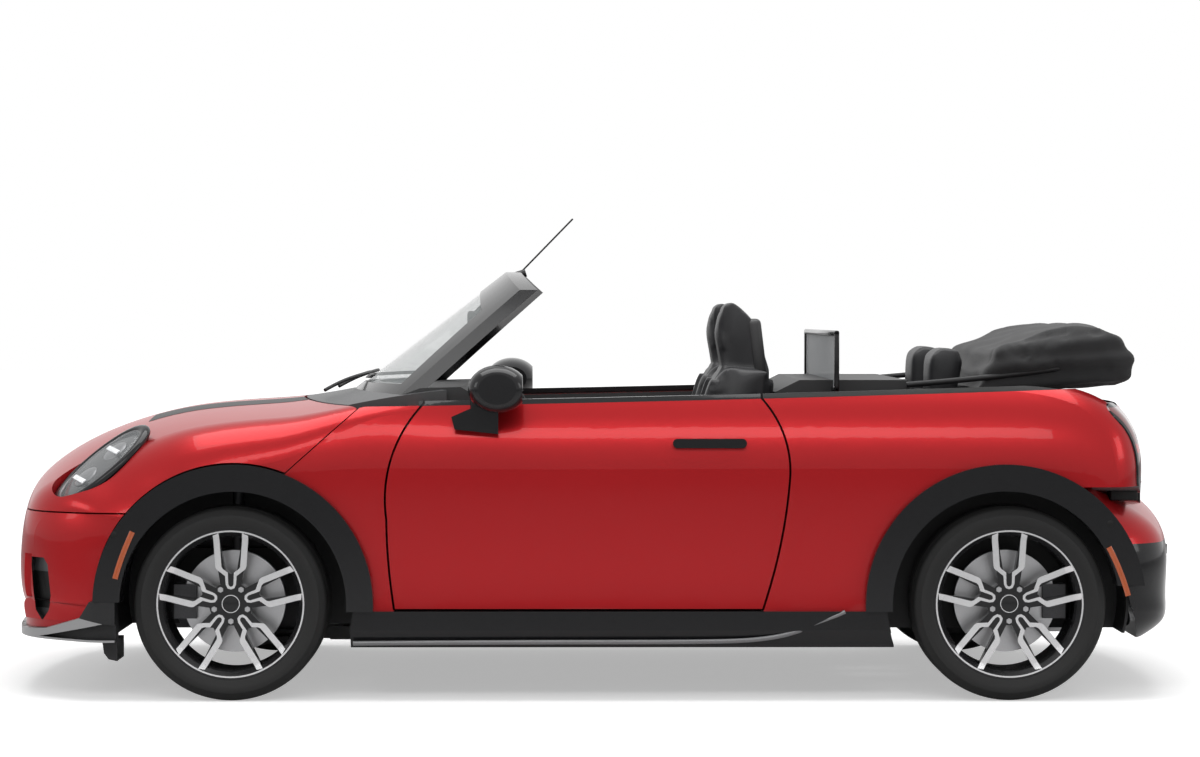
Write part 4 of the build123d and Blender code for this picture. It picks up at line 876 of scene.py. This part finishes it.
# ---------------------------------------------------------------- cabin
def cushion(node, name, finish_name, voxel, body, swell, crease, side=0, foot=0.0):
    """Padded form of a plain solid: remeshed, blown up a little, creased, and smoothed."""
    shape = merged_copy(node)
    if side:
        loose = [vert for vert in shape.verts if vert.co.y * side < 0]
        bmesh.ops.delete(shape, geom=loose, context="VERTS")
    if foot:
        cut(shape, (0, 0, foot), (0, 0, -1), clear=True)
        rim = [edge for edge in shape.edges if edge.is_boundary]
        bmesh.ops.triangle_fill(shape, use_beauty=True, use_dissolve=False, edges=rim)
    mesh = bpy.data.meshes.new(name)
    shape.to_mesh(mesh)
    shape.free()
    piece = bpy.data.objects.new(name, mesh)
    bpy.context.scene.collection.objects.link(piece)
    remesh = piece.modifiers.new("even", "REMESH")
    remesh.mode = "VOXEL"
    remesh.voxel_size = voxel
    graph = bpy.context.evaluated_depsgraph_get()
    even = bpy.data.meshes.new_from_object(piece.evaluated_get(graph))
    piece.modifiers.clear()
    piece.data = even
    bpy.data.meshes.remove(mesh)
    soft = bmesh.new()
    soft.from_mesh(even)
    for _ in range(6):
        bmesh.ops.smooth_vert(soft, verts=soft.verts, factor=0.5, use_axis_x=True, use_axis_y=True,
                              use_axis_z=True)
    soft.normal_update()
    for vert in soft.verts:
        vert.co += vert.normal * swell
    soft.to_mesh(even)
    soft.free()
    blow_up(piece, even)
    fluted = bmesh.new()
    fluted.from_mesh(piece.data)
    fluted.normal_update()
    for vert in fluted.verts:
        vert.co += vert.normal * crease(vert.co)
    fluted.to_mesh(piece.data)
    fluted.free()
    piece.data.materials.clear()
    piece.data.materials.append(finishes[finish_name])
    piece.data.shade_smooth()
    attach(piece, body)
    return piece


def blow_up(piece, rest, cap=0.012):
    """Short cloth run under pressure, with how far a point may move capped."""
    before = [vert.co.copy() for vert in rest.vertices]
    cloth = piece.modifiers.new("padding", "CLOTH")
    cloth.settings.use_pressure = True
    cloth.settings.uniform_pressure_force = 4.0
    cloth.settings.effector_weights.gravity = 0.0
    cloth.settings.quality = 3
    scene = bpy.context.scene
    for step in range(1, 13):
        scene.frame_set(step)
    graph = bpy.context.evaluated_depsgraph_get()
    blown = bpy.data.meshes.new_from_object(piece.evaluated_get(graph))
    piece.modifiers.clear()
    for vert, start in zip(blown.vertices, before):
        move = vert.co - start
        if move.length > cap:
            vert.co = start + move.normalized() * cap
    piece.data = blown
    scene.frame_set(1)


SEAT_MIDDLE = 0.362


def seat_crease(co):
    """Side wings stand proud, with a sewn line inside each wing and across the cushion."""
    aside = abs(abs(co.y) - SEAT_MIDDLE)
    push = 0.0
    if 0.13 < aside < 0.22 and co.z < 1.02:
        push += 0.012
    push -= 0.006 * math.exp(-((aside - 0.125) / 0.006) ** 2)
    push -= 0.004 * math.exp(-(aside / 0.005) ** 2) if co.z < 0.55 else 0.0
    for height in (0.66, 0.76, 0.86, 0.96):
        if aside < 0.12:
            push -= 0.004 * math.exp(-((co.z - height) / 0.006) ** 2)
    return push


def rear_crease(co):
    """Sewn lines down the rear bench: one in the middle and two on each side."""
    push = -0.006 * math.exp(-(co.y / 0.006) ** 2)
    for line in (0.17, 0.42):
        push -= 0.004 * math.exp(-((abs(co.y) - line) / 0.006) ** 2)
    return push


def roof_crease(co):
    """Soft layers and sags of the folded cloth."""
    layer = math.sin((co.z * 95 + co.x * 8) + 0.8 * math.sin(co.y * 7))
    sag = math.sin(co.y * 17 + co.x * 11) * math.sin(co.x * 23 + 1.3)
    return 0.005 * layer + 0.004 * sag - 0.003


RUNNER_Y = (0.1975, 0.5175)
RUNNER_LOW, RUNNER_HIGH = Vector((-0.39, -0.015, 0.217)), Vector((0.165, 0.015, 0.335))
SEAT_FOOT = 0.3305
SHELL_LOW, SHELL_HIGH = Vector((-0.560, -0.125, 1.035)), Vector((-0.515, 0.125, 1.225))
SHELL_TURN = (-0.54, 0, 1.13)
SHELL_TILT = 0.12


def soft_piece(node, name, finish_name, voxel, shrink, crease, side=0, foot=0.0):
    """A padded piece that stands for a plain soft solid."""
    piece = cushion(node, name, finish_name, voxel, "chassis", -shrink, crease, side, foot)
    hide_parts(node)


def make_seats():
    for side, sign in SIDES:
        soft_piece("front_seats", f"seat_{side}", "leather", 0.011, 0.003, seat_crease,
                   sign, SEAT_FOOT)
        runners = bmesh.new()
        for y in RUNNER_Y:
            place = Vector((0, sign * y, 0))
            rounded_box(runners, RUNNER_LOW + place, RUNNER_HIGH + place, 0.004)
        add_piece(f"seat_runners_{side}", runners, "structure", "chassis")
        place = Vector((0, sign * SEAT_MIDDLE, 0))
        shell = bmesh.new()
        rounded_box(shell, SHELL_LOW + place, SHELL_HIGH + place, 0.018, 4)
        tilt = Matrix.Rotation(SHELL_TILT, 3, "Y")
        bmesh.ops.rotate(shell, verts=shell.verts, cent=SHELL_TURN, matrix=tilt)
        add_piece(f"seat_shell_{side}", shell, "cabin", "chassis", 40)
    soft_piece("rear_seat", "rear_bench", "leather", 0.013, 0.003, rear_crease)


ROOF_RAIL = ((-1.02, 0.60, 1.008), (-1.30, 0.605, 1.030), (-1.52, 0.60, 1.062))


def make_roof():
    soft_piece("folded_top", "roof_bundle", "canvas", 0.012, 0.002, roof_crease)
    for side, sign in SIDES:
        tube(f"roof_rail_{side}", [(x, sign * y, z) for x, y, z in ROOF_RAIL], 0.010, "plastic", "chassis")


HUB = Vector((0.2135, 0.360, 0.871))
COLUMN_RISE = math.radians(25)
PAD_OUTLINE = ((0.0001, -0.016), (0.030, -0.014), (0.046, -0.008), (0.050, 0), (0.0001, 0))
DASH_SLOPE = (1, 0, -0.25)
SCREEN_PLACE = (0.352, 0.0, 0.905)
SCREEN_OUTLINE = ((0.0001, 0.004), (0.092, 0.004), (0.100, 0), (0.100, -0.012), (0.104, -0.012),
                  (0.106, 0.008), (0.0001, 0.010))
VENT_OUTLINE = ((0.036, -0.004), (0.046, -0.004), (0.048, 0.008), (0.034, 0.008))
VENT_X, VENT_Z = 0.350, 0.845
VENT_Y = (-0.60, -0.24, 0.24, 0.60)
LEVER_LOW, LEVER_HIGH = (-0.02, -0.016, 0.486), (0.03, 0.016, 0.560)


def make_cabin():
    """Dashboard with its screen and vents, steering wheel, gear lever and wind deflector."""
    dress("dashboard", "cabin")
    steering = dress("steering_wheel", "leather")
    along_column = Vector((math.cos(COLUMN_RISE), 0, -math.sin(COLUMN_RISE)))
    pad = bmesh.new()
    turned(pad, PAD_OUTLINE, HUB, axis=along_column, start=(0, 1, 0), steps=48, closed=False)
    add_piece("wheel_pad", pad, "cabin", "steering_wheel", 50)
    dial = bmesh.new()
    turned(dial, SCREEN_OUTLINE, SCREEN_PLACE, axis=DASH_SLOPE, start=(0, 1, 0), steps=64, closed=False)
    add_piece("centre_screen", dial, "trim", "chassis", 40)
    vents = bmesh.new()
    for y in VENT_Y:
        turned(vents, VENT_OUTLINE, (VENT_X, y, VENT_Z), axis=DASH_SLOPE, start=(0, 1, 0), steps=40)
    add_piece("dash_vents", vents, "dark_silver", "chassis", 40)
    lever = bmesh.new()
    rounded_box(lever, LEVER_LOW, LEVER_HIGH, 0.012, 4)
    add_piece("gear_lever", lever, "leather", "chassis", 40)
    make_deflector()


DEFLECTOR_X = -0.7835
DEFLECTOR_FOOT = 0.986
DEFLECTOR_BAR = 0.018
COVER_TOP = 1.0245


def make_deflector():
    """Upright net in its frame, and the cover behind it."""
    cover = merged_copy("wind_deflector")
    extra = [vert for vert in cover.verts if vert.co.z > COVER_TOP]
    bmesh.ops.delete(cover, geom=extra, context="VERTS")
    piece = add_piece("deflector_cover", cover, "cabin", "chassis")
    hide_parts("wind_deflector")
    high = node_box("wind_deflector")[1]
    front, rear = DEFLECTOR_X + 0.008, DEFLECTOR_X - 0.008
    bar, foot = DEFLECTOR_BAR, DEFLECTOR_FOOT
    frame_ring = bmesh.new()
    rounded_box(frame_ring, (rear, -high.y, high.z - bar), (front, high.y, high.z), 0.006)
    rounded_box(frame_ring, (rear, -high.y, foot), (front, high.y, foot + bar), 0.006)
    rounded_box(frame_ring, (rear, high.y - bar, foot), (front, high.y, high.z), 0.006)
    rounded_box(frame_ring, (rear, -high.y, foot), (front, bar - high.y, high.z), 0.006)
    add_piece("deflector_frame", frame_ring, "trim", "chassis", 40)
    net = bmesh.new()
    rounded_box(net, (DEFLECTOR_X - 0.0008, bar - high.y, foot + bar),
                (DEFLECTOR_X + 0.0008, high.y - bar, high.z - bar), 0.0004, 1)
    add_piece("deflector_net", net, "mesh", "chassis", 40)


# ---------------------------------------------------------------- operators
class CAR_OT_finishes(bpy.types.Operator):
    """Make the surface finishes"""

    bl_idname = "car.finishes"
    bl_label = "Finishes"

    def execute(self, context):
        make_finishes(context.scene.car_colours)
        return {"FINISHED"}


class CAR_OT_stage(bpy.types.Operator):
    """Set up the camera, lights and floor"""

    bl_idname = "car.stage"
    bl_label = "Stage"

    def execute(self, context):
        make_stage()
        return {"FINISHED"}


class CAR_OT_body(bpy.types.Operator):
    """Dress the body panels, stripes and outer strips"""

    bl_idname = "car.body"
    bl_label = "Body"

    def execute(self, context):
        make_body()
        make_stripes(context.scene.car_sizes)
        make_tail_seals()
        make_strips()
        return {"FINISHED"}


class CAR_OT_wheels(bpy.types.Operator):
    """Make tyres, rims, bolts and caps"""

    bl_idname = "car.wheels"
    bl_label = "Wheels"

    def execute(self, context):
        make_wheels(context.scene.car_sizes)
        return {"FINISHED"}


class CAR_OT_lamps(bpy.types.Operator):
    """Make the headlights and tail lights"""

    bl_idname = "car.lamps"
    bl_label = "Lamps"

    def execute(self, context):
        make_headlights(context.scene.car_sizes)
        make_tail_lights()
        return {"FINISHED"}


class CAR_OT_screen(bpy.types.Operator):
    """Dress the windshield, mirrors and wipers"""

    bl_idname = "car.screen"
    bl_label = "Screen"

    def execute(self, context):
        make_screen()
        return {"FINISHED"}


class CAR_OT_cabin(bpy.types.Operator):
    """Make the dashboard, steering wheel and wind deflector"""

    bl_idname = "car.cabin"
    bl_label = "Cabin"

    def execute(self, context):
        make_cabin()
        return {"FINISHED"}


class CAR_OT_seats(bpy.types.Operator):
    """Make the padded seats"""

    bl_idname = "car.seats"
    bl_label = "Seats"

    def execute(self, context):
        make_seats()
        return {"FINISHED"}


class CAR_OT_roof(bpy.types.Operator):
    """Make the folded roof"""

    bl_idname = "car.roof"
    bl_label = "Roof"

    def execute(self, context):
        make_roof()
        return {"FINISHED"}


class CAR_PT_panel(bpy.types.Panel):
    """Lists the car's steps"""

    bl_label = "Car"
    bl_space_type = "VIEW_3D"
    bl_region_type = "UI"
    bl_category = "Car"

    def draw(self, context):
        for step in STEPS:
            self.layout.operator(step.bl_idname)


STEPS = (CAR_OT_finishes, CAR_OT_stage, CAR_OT_body, CAR_OT_wheels, CAR_OT_lamps, CAR_OT_screen, CAR_OT_cabin,
         CAR_OT_seats, CAR_OT_roof)
CLASSES = (CarSizes, CarColours, *STEPS, CAR_PT_panel)


def register():
    for part in CLASSES:
        bpy.utils.register_class(part)
    bpy.types.Scene.car_sizes = bpy.props.PointerProperty(type=CarSizes)
    bpy.types.Scene.car_colours = bpy.props.PointerProperty(type=CarColours)


def unregister():
    del bpy.types.Scene.car_colours
    del bpy.types.Scene.car_sizes
    for part in reversed(CLASSES):
        bpy.utils.unregister_class(part)


def main():
    register()
    for step in STEPS:
        group, name = step.bl_idname.split(".")
        getattr(getattr(bpy.ops, group), name)()


if __name__ == "__main__":
    main()
